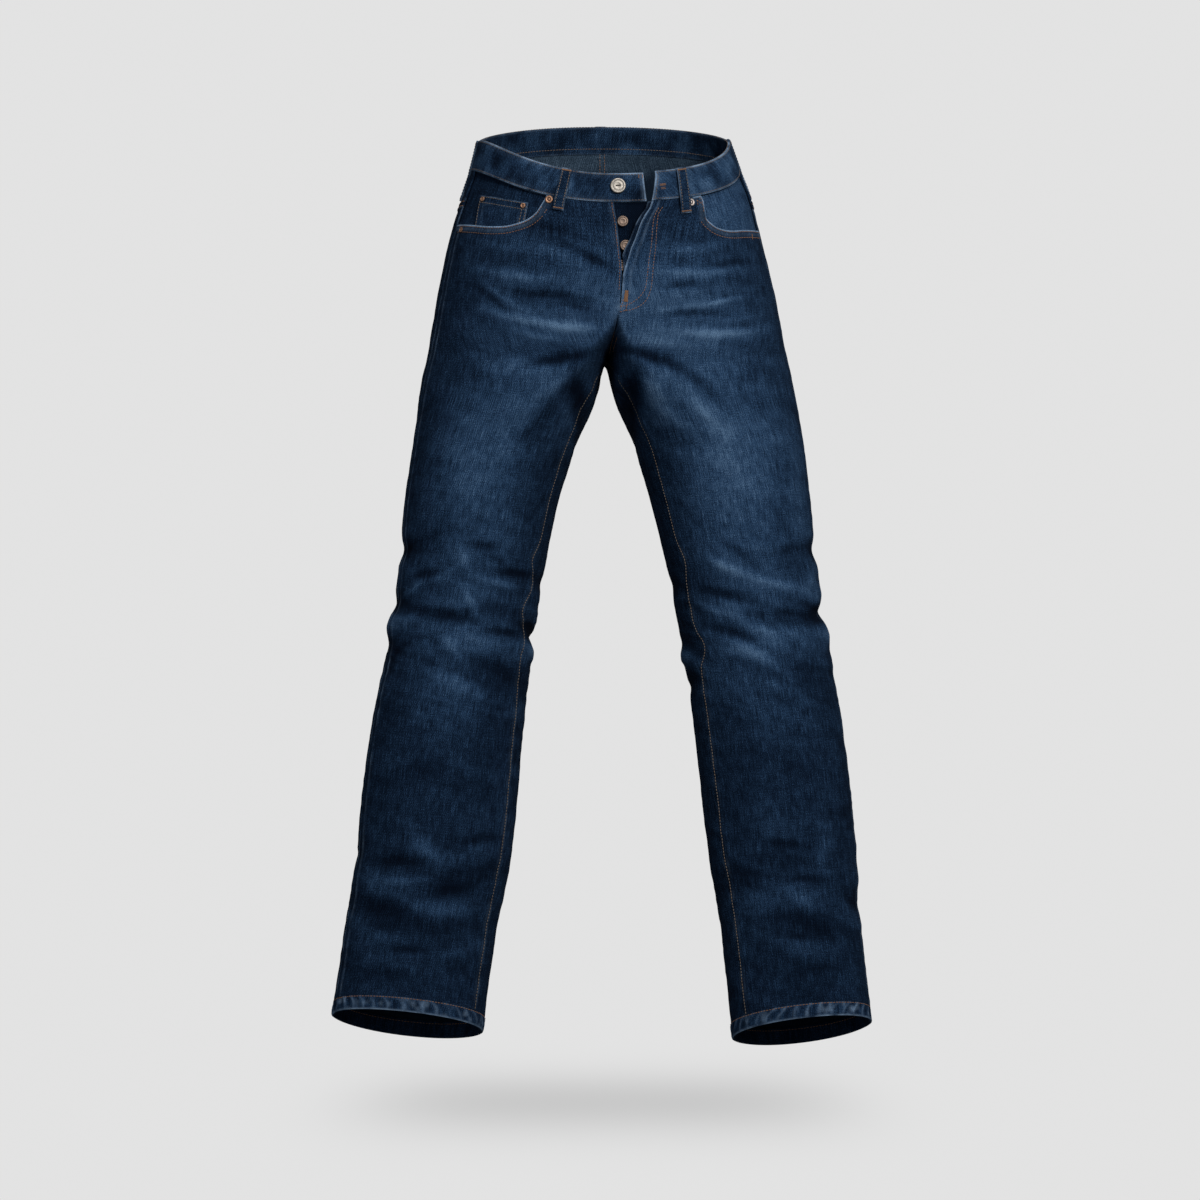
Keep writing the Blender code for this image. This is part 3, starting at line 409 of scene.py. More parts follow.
# Finer folds at the back and sides, in the same columns as FOLDS
FINE_FOLDS = rows_of(
    FOLD_COLUMNS,
    (RIGHT, -70, -210, 60, 9, 3, -1.5), (RIGHT, -110, -240, 60, 9, -4, -2.0), (RIGHT, -80, -275, 70, 9, 3, -1.4),
    (LEFT, -70, -214, 60, 9, 3, -1.5), (LEFT, -112, -244, 60, 9, -4, -2.0), (LEFT, -82, -280, 70, 9, 3, -1.4),
    (RIGHT, -60, -498, 34, 6, 3, -1.6), (RIGHT, -125, -528, 34, 6, -3, -1.7), (RIGHT, -70, -560, 40, 7, 2, -1.6),
    (RIGHT, -120, -585, 40, 7, -3, -1.4), (RIGHT, -80, -455, 50, 7, 2, -1.5), (RIGHT, -100, -860, 50, 8, 2, -1.4),
    (LEFT, -60, -494, 34, 6, 3, -1.6), (LEFT, -125, -524, 34, 6, -3, -1.7), (LEFT, -70, -562, 40, 7, 2, -1.6),
    (LEFT, -120, -588, 40, 7, -3, -1.4), (LEFT, -80, -450, 50, 7, 2, -1.5), (LEFT, -100, -880, 50, 8, 2, -1.4),
)
# Folds and rubbed lines on the front, as seen from there: the middle's X and Z, half the length and width, the
# slope in degrees (up towards +X), how far it stands out, and how pale it is in hundredths: rubbed wear and
# painted highlight along the raised folds, painted shade in the sunk ones
MARKS = rows_of(
    "x z length width slope lift pale",
    # the wearer's right thigh
    (-96, -150, 46, 6, -9, 0.8, 22), (-43, -206, 34, 6, -6, 1.0, 40), (-98, -196, 36, 5, -13, 0.7, 22),
    (-58, -171, 42, 5, -7, -1.3, -16), (-63, -121, 42, 7, -10, 0.6, 14), (-16, -129, 28, 5, -28, -1.4, -18),
    (-70, -217, 30, 4, -13, 0.6, 22), (-54, -242, 38, 6, 12, -1.8, -22), (-123, -174, 30, 3, -38, -0.8, -14),
    (-119, -167, 30, 2.5, -38, 0.5, 16), (-60, -96, 30, 5, -14, -0.8, -8), (-110, -118, 24, 4, -14, 0.5, 12),
    (-40, -262, 30, 6, 38, 0.9, 8), (-86, -252, 36, 7, 5, 0.6, 10), (-30, -184, 24, 4, -12, -0.9, -10),
    (-128, -236, 22, 4, -30, -0.5, -6), (-62, -300, 40, 9, 50, -0.9, -6),
    # the wearer's left thigh
    (125, -213, 48, 6, 2, 1.0, 40), (116, -179, 42, 5, 14, 0.8, 30), (133, -171, 28, 3, 15, -0.9, -14),
    (105, -146, 40, 6, 3, 0.7, 24), (100, -119, 30, 5, 10, 0.5, 16), (94, -190, 28, 4, 3, -1.0, -14),
    (54, -239, 34, 6, -18, -1.8, -24), (111, -272, 32, 6, -42, -1.0, -12), (109, -300, 30, 6, -46, 0.8, 12),
    (70, -224, 26, 5, -8, 0.6, 16), (140, -133, 26, 4, 12, -0.7, -8), (84, -160, 24, 4, 6, -0.8, -8),
    (150, -196, 22, 4, 10, 0.5, 14), (60, -290, 36, 8, -50, 0.7, 6),
    # the wearer's right knee
    (-135, -446, 16, 4, -12, -1.8, -16), (-154, -459, 15, 5, -68, 1.2, 16), (-98, -476, 19, 4, -8, -2.0, -16),
    (-117, -487, 28, 5, -14, 1.4, 18), (-199, -478, 16, 5, 12, -1.8, -14), (-189, -519, 42, 7, -5, -2.4, -18),
    (-212, -495, 20, 4, 42, 1.3, 8), (-147, -506, 17, 5, -52, 1.4, 16), (-110, -541, 19, 4, -8, -2.0, -14),
    (-165, -560, 20, 5, -52, 1.3, 15), (-224, -559, 14, 4, 40, -1.1, -8), (-136, -526, 20, 4, -38, 0.9, 10),
    (-176, -478, 20, 4, 28, 0.7, 6), (-118, -462, 16, 3, -30, -0.8, -6), (-200, -540, 22, 5, 16, 0.9, 8),
    (-150, -590, 30, 6, -20, -0.8, -6), (-120, -424, 30, 6, -22, -0.6, -6), (-192, -436, 24, 5, 18, -0.7, -6),
    # the wearer's left knee
    (132, -469, 22, 5, -27, 1.6, 22), (189, -489, 38, 6, -14, 1.5, 20), (138, -500, 42, 6, -14, -2.4, -18),
    (166, -536, 28, 6, -24, 1.4, 17), (144, -543, 34, 5, -20, -2.0, -15), (182, -577, 38, 7, -33, 1.1, 12),
    (105, -566, 16, 5, -30, -1.1, -8), (228, -513, 13, 4, -30, -1.4, -10), (206, -520, 22, 4, -6, -0.9, -8),
    (210, -546, 24, 5, -30, 0.8, 8), (150, -455, 24, 4, -36, -0.9, -8), (118, -516, 20, 4, -24, 0.8, 8),
    (186, -610, 30, 6, -20, -0.8, -6), (150, -430, 30, 6, -16, -0.6, -4), (205, -450, 20, 5, 14, -0.8, -6),
    # the wearer's right calf
    (-221, -789, 30, 7, 3, -1.8, -12), (-194, -776, 30, 8, -45, 1.4, 13), (-139, -767, 18, 5, 8, -1.4, -9),
    (-215, -811, 34, 5, 4, 1.2, 9), (-167, -821, 24, 5, 8, -1.5, -9), (-178, -843, 34, 8, -8, 1.2, 11),
    (-242, -860, 18, 5, -10, -1.2, -7), (-210, -884, 20, 4, -3, -1.6, -11), (-167, -889, 24, 6, 3, 0.9, 9),
    (-237, -910, 26, 7, 0, -0.9, -8), (-200, -690, 34, 8, 10, -0.7, -4), (-160, -720, 30, 7, -14, 0.6, 5),
    # the wearer's left calf
    (201, -771, 28, 6, -5, -1.8, -12), (240, -776, 26, 9, 85, 1.2, 11), (218, -808, 22, 4, -2, -1.4, -9),
    (174, -798, 22, 5, -12, 1.0, 9), (209, -828, 28, 7, -32, 1.2, 11), (212, -870, 14, 4, -10, -1.6, -11),
    (272, -838, 13, 4, -50, -1.2, -8), (256, -870, 20, 6, -35, 1.2, 9), (180, -850, 22, 5, 6, -0.9, -7),
    (200, -690, 34, 8, -8, -0.7, -4), (170, -730, 30, 7, 12, 0.6, 5), (230, -905, 26, 6, 6, -0.9, -8),
)
MARK_STRENGTH = {"lift": (1.45, 1.1), "pale": (1.25, 0.55)}  # on the thighs, and from the knees down
THIGH_END = -350  # in millimetres
# How lively the cloth's small uneven wrinkles are at each height
LIVELY = columns(
    "height amount",
    (12, 0.25), (-25, 0.4), (-120, 0.55), (-232, 0.7), (-300, 0.8), (-400, 0.45), (-450, 0.8), (-520, 1.3),
    (-600, 1.2), (-680, 0.7), (-790, 0.85), (-870, 0.9), (-990, 0.5),
)
# Where washing and wear have faded the cloth, in the columns of FOLDS; how pale in hundredths
FADES = rows_of(
    FOLD_COLUMNS,
    (RIGHT, 88, -340, 62, 140, 0, 62), (LEFT, 86, -340, 68, 150, 0, 74), (RIGHT, 92, -560, 52, 75, 0, 40),
    (LEFT, 92, -560, 52, 80, 0, 44), (RIGHT, 95, -160, 95, 70, 0, 42), (LEFT, 85, -160, 95, 75, 0, 52),
    (LEFT, 28, -400, 36, 170, 0, 34), (RIGHT, 135, -235, 40, 34, 0, 18), (LEFT, 135, -235, 40, 34, 0, 18),
    (RIGHT, -80, -170, 70, 80, 0, 50), (LEFT, -80, -170, 70, 80, 0, 50), (RIGHT, -90, -400, 60, 150, 0, 24),
    (LEFT, -90, -400, 60, 150, 0, 24), (RIGHT, 88, -760, 45, 90, 0, 4), (LEFT, 88, -760, 45, 90, 0, 8),
)


def noise(points, size, seed=0):
    """Smooth uneven values from -1 to 1 over points, in cells of the size given."""
    place = points / np.asarray(size) + seed * np.array([17.3, 5.9, 11.1])
    cell = np.floor(place).astype(np.int64)
    part = place - cell
    part = part * part * (3 - 2 * part)
    total = np.zeros(points.shape[:-1])
    for corner in np.ndindex(2, 2, 2):
        x, y, z = np.moveaxis(cell + corner, -1, 0)
        key = (x * 73856093) ^ (y * 19349663) ^ (z * 83492791)
        key = (key ^ (key >> 13)) * 1274126177
        value = ((key ^ (key >> 16)) & 0xFFFF) / 32767.5 - 1
        total += value * np.prod(np.where(corner, part, 1 - part), axis=-1)
    return total


def marks(column, angle, point):
    """The sum of one column of the front's marks at some points."""
    x, z = point[..., 0] / MM, point[..., 2] / MM
    total = np.zeros(x.shape)
    high, low = MARK_STRENGTH[column]
    for mark in MARKS:
        slope = math.radians(mark["slope"])
        along = (x - mark["x"]) * math.cos(slope) + (z - mark["z"]) * math.sin(slope)
        across = (z - mark["z"]) * math.cos(slope) - (x - mark["x"]) * math.sin(slope)
        across = across + along ** 2 / (4 * mark["length"]) * (0.3 if mark["lift"] < 0 else -0.3)
        strength = mark[column] * (high if mark["z"] > THIGH_END else low)
        total += strength * np.exp(-(along / mark["length"]) ** 2 - (across / mark["width"]) ** 2)
    return total * ease(np.sin(angle) * 2.5)


def fine_relief(side, angle, height, point):
    """The finer folds and uneven wrinkles over the main folds."""
    lively = smooth(height / MM, LIVELY["height"], LIVELY["amount"])
    slant = point + np.array([0, 0, 1.0]) * (point[..., :1] * 0.25)
    long_folds = noise(slant, (0.050, 0.050, 0.016), 1 + side)
    creases = 0.5 - np.abs(noise(slant, (0.038, 0.038, 0.011), 5 + side))
    small = 0.5 - np.abs(noise(slant, (0.019, 0.019, 0.0085), 13 + side))
    uneven = (0.6 * long_folds + 0.75 * creases + 0.4 * small) * lively
    return (bells(FINE_FOLDS, side, angle, height) + marks("lift", angle, point) + uneven) * MM


def lift_of(side, angle, height, point):
    """How far all the folds move the cloth outwards."""
    return relief(side, angle, height) + fine_relief(side, angle, height, point)


def normals_of_grid(grid, outward):
    """A grid's normals, turned the way that outward points."""
    normal = unit(np.cross(np.gradient(grid, axis=1), np.gradient(grid, axis=0)))
    return normal * np.where(np.sum(normal * outward, axis=-1, keepdims=True) < 0, -1, 1)


def moved(points, normals, out):
    """Points moved along their normals by so much each."""
    return points + normals * np.broadcast_to(out, points.shape[:-1])[..., None]


def fine_skin(side, angle, height, flap=False):
    """The outer face with all its folds, and its normals."""
    base = plain_point(side, angle, height)
    outward = normal_of(plain_point, side, angle, height)
    point = moved(base, outward, lift_of(side, angle, height, base))
    if flap:
        stand_forward(point, angle, height)
    return point, normals_of_grid(point, outward)


# ---- meshes ----------------------------------------------------------------------------------------------

def ring_faces(index, closed=True):
    """Four-sided faces between each ring of points and the next, round the last axis."""
    ahead = np.roll(index, -1, axis=-1) if closed else index[..., 1:]
    here = index if closed else index[..., :-1]
    low, high = slice(None, -1), slice(1, None)
    corners = (here[..., low, :], ahead[..., low, :], ahead[..., high, :], here[..., high, :])
    return np.stack(corners, axis=-1).reshape(-1, 4)


def add_mesh(name, points, faces, finishes, uv=None, values=None, sharp=40, which=None):
    """One object with faces turned out, its own map over the cloth and its values at each point."""
    points = np.asarray(points, float)
    faces = [np.asarray(face) for face in faces]
    volume = 0.0
    for group in faces:
        for k in range(1, group.shape[1] - 1):
            a, b, c = points[group[:, 0]], points[group[:, k]], points[group[:, k + 1]]
            volume += float(np.sum(a * np.cross(b, c)))
    if volume < 0:
        faces = [group[:, ::-1] for group in faces]
    mesh = bpy.data.meshes.new(name)
    mesh.from_pydata(points.tolist(), [], [face for group in faces for face in group.tolist()])
    mesh.update()
    corners = np.empty(len(mesh.loops), dtype=np.int32)
    mesh.loops.foreach_get("vertex_index", corners)
    if uv is not None:
        layer = mesh.uv_layers.new(name="cloth")
        layer.data.foreach_set("uv", np.asarray(uv, np.float32)[corners].ravel())
    for key, value in (values or {}).items():
        attribute = mesh.attributes.new(key, "FLOAT", "POINT")
        attribute.data.foreach_set("value", np.asarray(value, np.float32).ravel())
    for finish in finishes:
        mesh.materials.append(finish)
    if which is not None:
        mesh.polygons.foreach_set("material_index", np.concatenate(which).astype(np.int32))
    mesh.shade_smooth()
    mesh.set_sharp_from_angle(angle=math.radians(sharp))
    made = bpy.data.objects.new(name, mesh)
    bpy.context.scene.collection.objects.link(made)
    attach(made, "root")
    return made


def cloth_map(grid, closed=False):
    """Distances over the cloth, round and up it, for each point of a grid."""
    middle = grid.shape[1] // 2
    round_it = run_of(grid, 1)
    if not closed:
        round_it = round_it - round_it[:, middle:middle + 1]
    up_it = run_of(grid[:, middle])
    return np.stack([round_it, np.repeat(up_it[:, None], grid.shape[1], axis=1)], axis=-1)


def shell(name, outside, inside, finishes, values):
    """A thin closed shell between two grids of points, the inside without wear."""
    rows, cols = outside.shape[:2]
    shift = rows * cols
    index = np.arange(shift).reshape(rows, cols)
    outer = ring_faces(index, closed=False)
    inner = outer[:, ::-1] + shift
    rims = np.concatenate([
        np.stack([line[1:], line[:-1], line[:-1] + shift, line[1:] + shift], axis=-1)
        for line in (index[0], index[:, -1], index[-1, ::-1], index[::-1, 0])])
    place = np.tile(cloth_map(outside).reshape(-1, 2), (2, 1))
    both = {key: np.tile(np.ravel(value), 2) for key, value in values.items()}
    # painted shade: the inside is made darker below the waist, where little light reaches
    both["fade_and_shade"][shift:] -= 0.9 * ease((INSIDE_SHADE_TOP - inside[..., 2].ravel()) / INSIDE_SHADE_OVER)
    both["wear"][shift:] = 0
    points = np.concatenate([outside.reshape(-1, 3), inside.reshape(-1, 3)])
    which = [np.zeros(len(outer)), np.ones(len(inner)), np.zeros(len(rims))]
    return add_mesh(name, points, [outer, inner, rims], finishes, place, both, which=which)


def swept(name, grid, finishes, values, closed=False):
    """A solid strip: each column of the grid is its closed cross-section. A closed one runs round a tube."""
    rows, cols = grid.shape[:2]
    index = np.arange(rows * cols).reshape(rows, cols)
    ahead = np.roll(index, -1, axis=1) if closed else index[:, 1:]
    here = index if closed else index[:, :-1]
    groups = [np.stack([here, ahead, np.roll(ahead, -1, axis=0), np.roll(here, -1, axis=0)], axis=-1).reshape(-1, 4)]
    if not closed:
        half = rows // 2
        for column, turn in ((0, 1), (cols - 1, -1)):
            near, far = index[:half, column], index[::-1, column][:half]
            groups.append(np.stack([near[:-1], near[1:], far[1:], far[:-1]], axis=-1)[:, ::turn])
    place = cloth_map(grid, closed).reshape(-1, 2)
    flat = {key: np.ravel(value) for key, value in values.items()}
    return add_mesh(name, grid.reshape(-1, 3), [np.concatenate(groups)], finishes, place, flat)


# ---- rows, columns and edges -----------------------------------------------------------------------------

def edge_shares(length, margin=0.012, fine=0.0012, rough=0.0033):
    """Places across a piece as shares of its width, closer together near both edges."""
    near = np.arange(0, margin, fine)
    middle = np.linspace(margin, length - margin, int((length - 2 * margin) / rough) + 2)
    return np.concatenate([near, middle, length - near[::-1]]) / length


def seam_inset(height):
    """Half the gap at a seam as an angle, wider where the seams swing round the crotch."""
    swing = 1 + 3 * np.exp(-((height - CROTCH) / (18 * MM)) ** 2)
    return HALF_GAP * swing / (read(PROFILE, "front", height) * 0.9)


def fit_top(heights, tops, start):
    """Heights as a grid, with each column's rows above start squeezed to end at its own top."""
    grid = np.repeat(heights[:, None], len(tops), axis=1)
    share = np.clip((grid - start) / (heights[-1] - start), 0, 1)
    return np.where(grid > start, start + share * (tops[None, :] - start), grid)


def edge_runs(grid):
    """Each point's distance along its row from the first column and from the last."""
    run = run_of(grid, 1)
    return run, run[:, -1:] - run


def top_run(grid):
    """Each point's distance along its column from the last row."""
    run = run_of(grid)
    return run[-1:] - run


def distance_to(points, line):
    """Each point's distance from the nearest point of a line."""
    flat = points.reshape(-1, 3)
    nearest = np.full(len(flat), 1.0)
    for k in range(0, len(flat), 4096):
        part = flat[k:k + 4096]
        nearest[k:k + 4096] = np.sqrt(((part[:, None] - line[None]) ** 2).sum(-1)).min(axis=1)
    return nearest.reshape(points.shape[:-1])


def resample(line, step):
    """A line's points again at even steps."""
    run = run_of(line)
    places = np.linspace(0, run[-1], max(int(run[-1] / step), 1) + 1)
    return np.stack([np.interp(places, run, line[:, k]) for k in range(3)], axis=-1)


def bump_at(distance, place, width):
    return np.exp(-((distance - place) / width) ** 2)


def rounded(distance):
    """A folded edge turns in over its last millimetre."""
    return -0.5 * MM * (1 - ease(distance / (1.0 * MM)))


def pressed_seam(distance, points):
    """A seam pressed open: a groove, and the turned-in edges showing as low puckered ridges beside it."""
    pucker = noise(points, (0.020, 0.020, 0.009), 21)
    ridge = ease(distance / (1.5 * MM)) * (1 - ease((distance - 9 * MM) / (3 * MM)))
    return MM * (ridge * (0.5 + 0.35 * pucker) - 0.6 * (1 - ease(distance / (1.6 * MM))))


def felled_seam(distance, points, width=8.5 * MM):
    """The upper side of a lapped seam: a puckered ridge, pulled down along its stitches."""
    pucker = noise(points, (0.006, 0.006, 0.0055), 23)
    ridge = 1 - ease((distance - width) / (2 * MM))
    pulled = bump_at(distance, 1.8 * MM, 0.9 * MM) + bump_at(distance, width - 1.6 * MM, 0.9 * MM)
    return MM * (ridge * (0.85 + 0.25 * pucker) - 0.3 * pulled) + rounded(distance)


def tucked_seam(distance):
    """The lower side of a lapped seam."""
    return -0.35 * MM * (1 - ease(distance / (3 * MM)))


def worn_seam(distance, points, places, amount=0.6, uneven=1.0):
    """Rubbed lines at the given distances from an edge, coming and going along it."""
    come_and_go = 0.9 * noise(points, (0.013, 0.013, 0.011), 31) + 0.5 * noise(points, 0.004, 32)
    patchy = 0.45 + 0.3 * (1 - uneven) + uneven * come_and_go
    lines = sum(bump_at(distance, place * MM, width * MM) * share for place, width, share in places)
    return np.clip(amount * lines * np.clip(patchy, 0.08, 1.2), 0, 1)


def crest_of(lift):
    """How far each point stands above the cloth around it, in millimetres."""
    around = lift
    for axis, reach in ((0, 9), (1, 7), (0, 9), (1, 7)):
        padded = np.pad(around, [(reach, reach) if k == axis else (0, 0) for k in (0, 1)], mode="edge")
        total = np.cumsum(padded, axis=axis)
        high = np.take(total, range(2 * reach, total.shape[axis]), axis=axis)
        low = np.take(total, range(0, total.shape[axis] - 2 * reach), axis=axis)
        around = (high - low) / (2 * reach)
    return (lift - around) / MM


def looks_of(side, angle, height, point, wear):
    """A piece's values for its material."""
    # The first value holds washing fades and the marks' paleness, which is painted shade in the sunk folds and partly
    # painted highlight on the raised ones.
    fade_and_shade = bells(FADES, side, angle, height) + marks("pale", angle, point)
    fade_and_shade = fade_and_shade / 100 + 0.10 * noise(point, (0.05, 0.05, 0.07), 41)
    # the crest height is kept to paint shade in the hollows and highlight on the crests
    relief_shade = crest_of(lift_of(side, angle, height, point))
    return {"fade_and_shade": np.clip(fade_and_shade, -0.5, 1), "wear": np.clip(wear + 0 * fade_and_shade, 0, 1), "relief_shade": np.clip(relief_shade, -3, 3)}


FRONT_ROWS, BACK_ROWS = 345, 330
STRIP_BEND = 0.012  # a folded strip's bend at each edge, as a share of its width
FRONT_EVEN_TO, BACK_EVEN_TO = -128 * MM, -150 * MM  # above these heights the rows close up towards the upper edge
SEWN = {}  # the faces that are sewn, as grids of points by name, and the heights of the panels' inner edges


# ---- the pieces of cloth ---------------------------------------------------------------------------------

def panel_heights(side, top, rows):
    return np.linspace(LEG_END[side] + HEM_HEIGHT - HEM_TUCK, top, rows)


def panel(kind, side, finishes, outside, inside, grid, values):
    """A panel's shell, kept for its sewing."""
    name = f"{kind}_{SIDE_NAMES[side]}"
    SEWN[name], SEWN[f"inside_{name}"], SEWN[f"heights_{name}"] = outside, inside, grid[:, -1]
    return shell(f"{name}_cloth", outside, inside, finishes, values)


def front_panel(side, finishes):
    shares = edge_shares(0.175)
    line_angles, line_heights = pocket_line(side)
    fly_heights, fly_angles = flap_line()

    def angles_at(grid):
        end = front_end(side, grid)
        cut = 0
        if side == LEFT:
            edge = smooth(grid, fly_heights, fly_angles)
            cut = np.where(grid > fly_heights[0], np.maximum(end - edge, 0), 0)
        inset = seam_inset(grid)
        high_end, low_end = math.pi / 2 - inset - cut, math.pi - INSEAM[side] - inset
        return spread(SIDE_SEAM[side] + inset, end - cut - inset, high_end, low_end, grid, shares[None, :])

    tops = np.full(len(shares), BAND_SEAM - HALF_GAP)
    for _ in range(12):  # until each column ends on the pocket's edge
        angles = angles_at(tops[None, :])[0]
        tops = smooth(angles, line_angles, line_heights - HALF_GAP)
    grid = fit_top(panel_heights(side, BAND_SEAM - HALF_GAP, FRONT_ROWS), tops, FRONT_EVEN_TO)
    angles = angles_at(grid)
    points, normals = fine_skin(side, angles, grid, flap=side == LEFT)
    from_side, from_inner = edge_runs(points)
    pocket_end = int(np.argmax(angles[-1] > line_angles[-1]))
    SEWN[f"pocket_{SIDE_NAMES[side]}"] = points[:, :pocket_end]
    high = grid > FRONT_EVEN_TO - 7 * MM
    from_pocket = np.full(grid.shape, 1.0)
    from_pocket[high] = distance_to(points[high], resample(points[-1, :pocket_end + 1], 0.8 * MM))
    fly = ease((grid - FLY_END) / (6 * MM))
    split = ease((CROTCH - grid) / (20 * MM))  # 0 at the centre seam, 1 along the leg
    out = pressed_seam(from_side, points) * (1 - ease((grid + 95 * MM) / (15 * MM)))
    felled = felled_seam(from_inner, points)
    if side == LEFT:
        out = out + felled * (1 - fly) + (rounded(from_inner) + 0.25 * MM * bump_at(from_inner, 6 * MM, 3 * MM)) * fly
    else:
        out = out + felled * split + tucked_seam(from_inner) * (1 - split) * (1 - fly) + rounded(from_inner) * fly
    pucker = noise(points, 0.006, 25)
    out = out + rounded(from_pocket) + MM * (0.35 + 0.3 * pucker) * bump_at(from_pocket, 5 * MM, 2.6 * MM)
    out = out - 0.25 * MM * bump_at(from_pocket, 9.2 * MM, 1.0 * MM)
    wear = worn_seam(from_side, points, ((0.8, 0.8, 0.9), (9.5, 1.1, 0.45)), 0.6, uneven=0.6)
    inner = worn_seam(from_inner, points, ((0.4, 0.7, 0.5), (4.5, 1.8, 0.10)), 0.6)
    lip = worn_seam(from_inner, points, ((0.5, 0.85, 1.6), (8.5, 1.2, 0.3)), 0.95, uneven=0.35)
    wear = wear + inner * (1 - fly) * (2.2 - 1.2 * split) + (lip if side == LEFT else inner) * fly
    wear = wear + worn_seam(from_pocket, points, ((0.3, 1.0, 1.6), (5, 2.4, 0.16)), 1.15, uneven=0.3)
    return panel("front", side, finishes, moved(points, normals, out), moved(points, normals, -CLOTH),
                 grid, looks_of(side, angles, grid, points, wear))


def yoke_seam(side, angle):
    """The yoke's lower seam, dropping from the side seam to the centre back."""
    share = np.clip((SIDE_SEAM[side] - angle) / (SIDE_SEAM[side] + math.pi / 2), 0, 1)
    return YOKE_SIDE + (YOKE_CENTRE - YOKE_SIDE) * share


def back_angles(side, grid, shares):
    inset = seam_inset(grid)
    high_end, low_end = inset - math.pi / 2, inset - math.pi - INSEAM[side]
    end = back_end(side, grid) + inset * (grid < CROTCH)
    return spread(SIDE_SEAM[side] - inset, end, high_end, low_end, grid, shares[None, :])


def lapped(side, points, grid, from_centre):
    """The wearer's left carried on over the right at the centre back, above the crotch."""
    reach = 2.5 * MM * (1 - ease(from_centre / (9 * MM))) * ease((grid - CROTCH) / (15 * MM))
    return points - reach[..., None] * np.array([1.0, 0, 0]) * (side == LEFT)


def inner_fold(side, from_centre):
    """How much thicker the wearer's left is along the centre-back seam, seen from inside."""
    return 0.6 * MM * (1 - ease((from_centre - 9 * MM) / (1.5 * MM))) * (side == LEFT)


def back_panel(side, finishes):
    shares = edge_shares(0.285, rough=0.0034)
    tops = np.full(len(shares), YOKE_CENTRE)
    for _ in range(6):  # until each column ends on the yoke's seam
        angles = back_angles(side, tops[None, :], shares)[0]
        tops = yoke_seam(side, angles) - HALF_GAP
    grid = fit_top(panel_heights(side, YOKE_CENTRE, BACK_ROWS), tops, BACK_EVEN_TO)
    angles = back_angles(side, grid, shares)
    points, normals = fine_skin(side, angles, grid)
    from_side, from_inner = edge_runs(points)
    points = lapped(side, points, grid, from_inner)
    split = ease((CROTCH - grid) / (20 * MM))
    seat = felled_seam(from_inner, points) if side == LEFT else tucked_seam(from_inner)
    out = pressed_seam(from_side, points) + tucked_seam(top_run(points))
    out = out + tucked_seam(from_inner) * split + seat * (1 - split)
    wear = worn_seam(from_side, points, ((0.8, 0.6, 0.7), (9.5, 0.9, 0.35)), 0.6)
    wear = wear + worn_seam(from_inner, points, ((0.4, 0.7, 0.6),), 0.5)
    inside = moved(points, normals, -CLOTH - inner_fold(side, from_inner) * (1 - split))
    return panel("back", side, finishes, moved(points, normals, out), inside, grid,
                 looks_of(side, angles, grid, points, wear))


def yoke(side, finishes):
    shares = edge_shares(0.205, rough=0.0028)
    angles = back_angles(side, np.full((1, len(shares)), YOKE_SIDE), shares)
    low = yoke_seam(side, angles[0]) + HALF_GAP
    high = BAND_SEAM + 1.5 * MM  # sewn into the band
    grid = low + edge_shares(0.055, margin=0.010, fine=0.0014, rough=0.0028)[:, None] * (high - low)
    angles = back_angles(side, grid, shares)
    points, normals = fine_skin(side, angles, grid)
    from_side, from_inner = edge_runs(points)
    points = lapped(side, points, grid, from_inner)
    from_low = run_of(points)
    out = pressed_seam(from_side, points) + felled_seam(from_low, points)
    out = out + (felled_seam(from_inner, points) if side == LEFT else tucked_seam(from_inner))
    wear = worn_seam(from_low, points, ((0.4, 0.7, 1.0), (9.5, 1.2, 0.3)), 0.7)
    wear = wear + worn_seam(from_inner, points, ((0.4, 0.7, 0.7),), 0.5)
    thin = 1 - 0.6 * (1 - ease(top_run(points) / (3 * MM)))  # its top is pressed in under the band
    inside = moved(points, normals, -(CLOTH + inner_fold(side, from_inner)) * thin)
    return panel("yoke", side, finishes, moved(points, normals, out), inside, grid,
                 looks_of(side, angles, grid, points, wear))


def folded_strip(thick, span, rows=14):
    """A folded strip's cross-section: shares of its span and how far out, round from the foot of its face."""
    turn = np.radians(np.linspace(0, 180, 7))[1:-1]
    face, bend = np.linspace(STRIP_BEND, 1 - STRIP_BEND, rows), (1 - np.sin(turn)) * STRIP_BEND
    share = np.concatenate([face, 1 - bend, face[::-1], bend])
    depth = np.concatenate([np.zeros(rows), (1 - np.cos(turn)) / 2, np.ones(rows), (1 + np.cos(turn)) / 2])
    edge = np.minimum(share, 1 - share) * span
    soft = 0.35 * MM * (1 - ease(edge / (1.6 * MM)))
    return share, -thick * depth + np.where(depth < 0.5, -soft, soft), depth


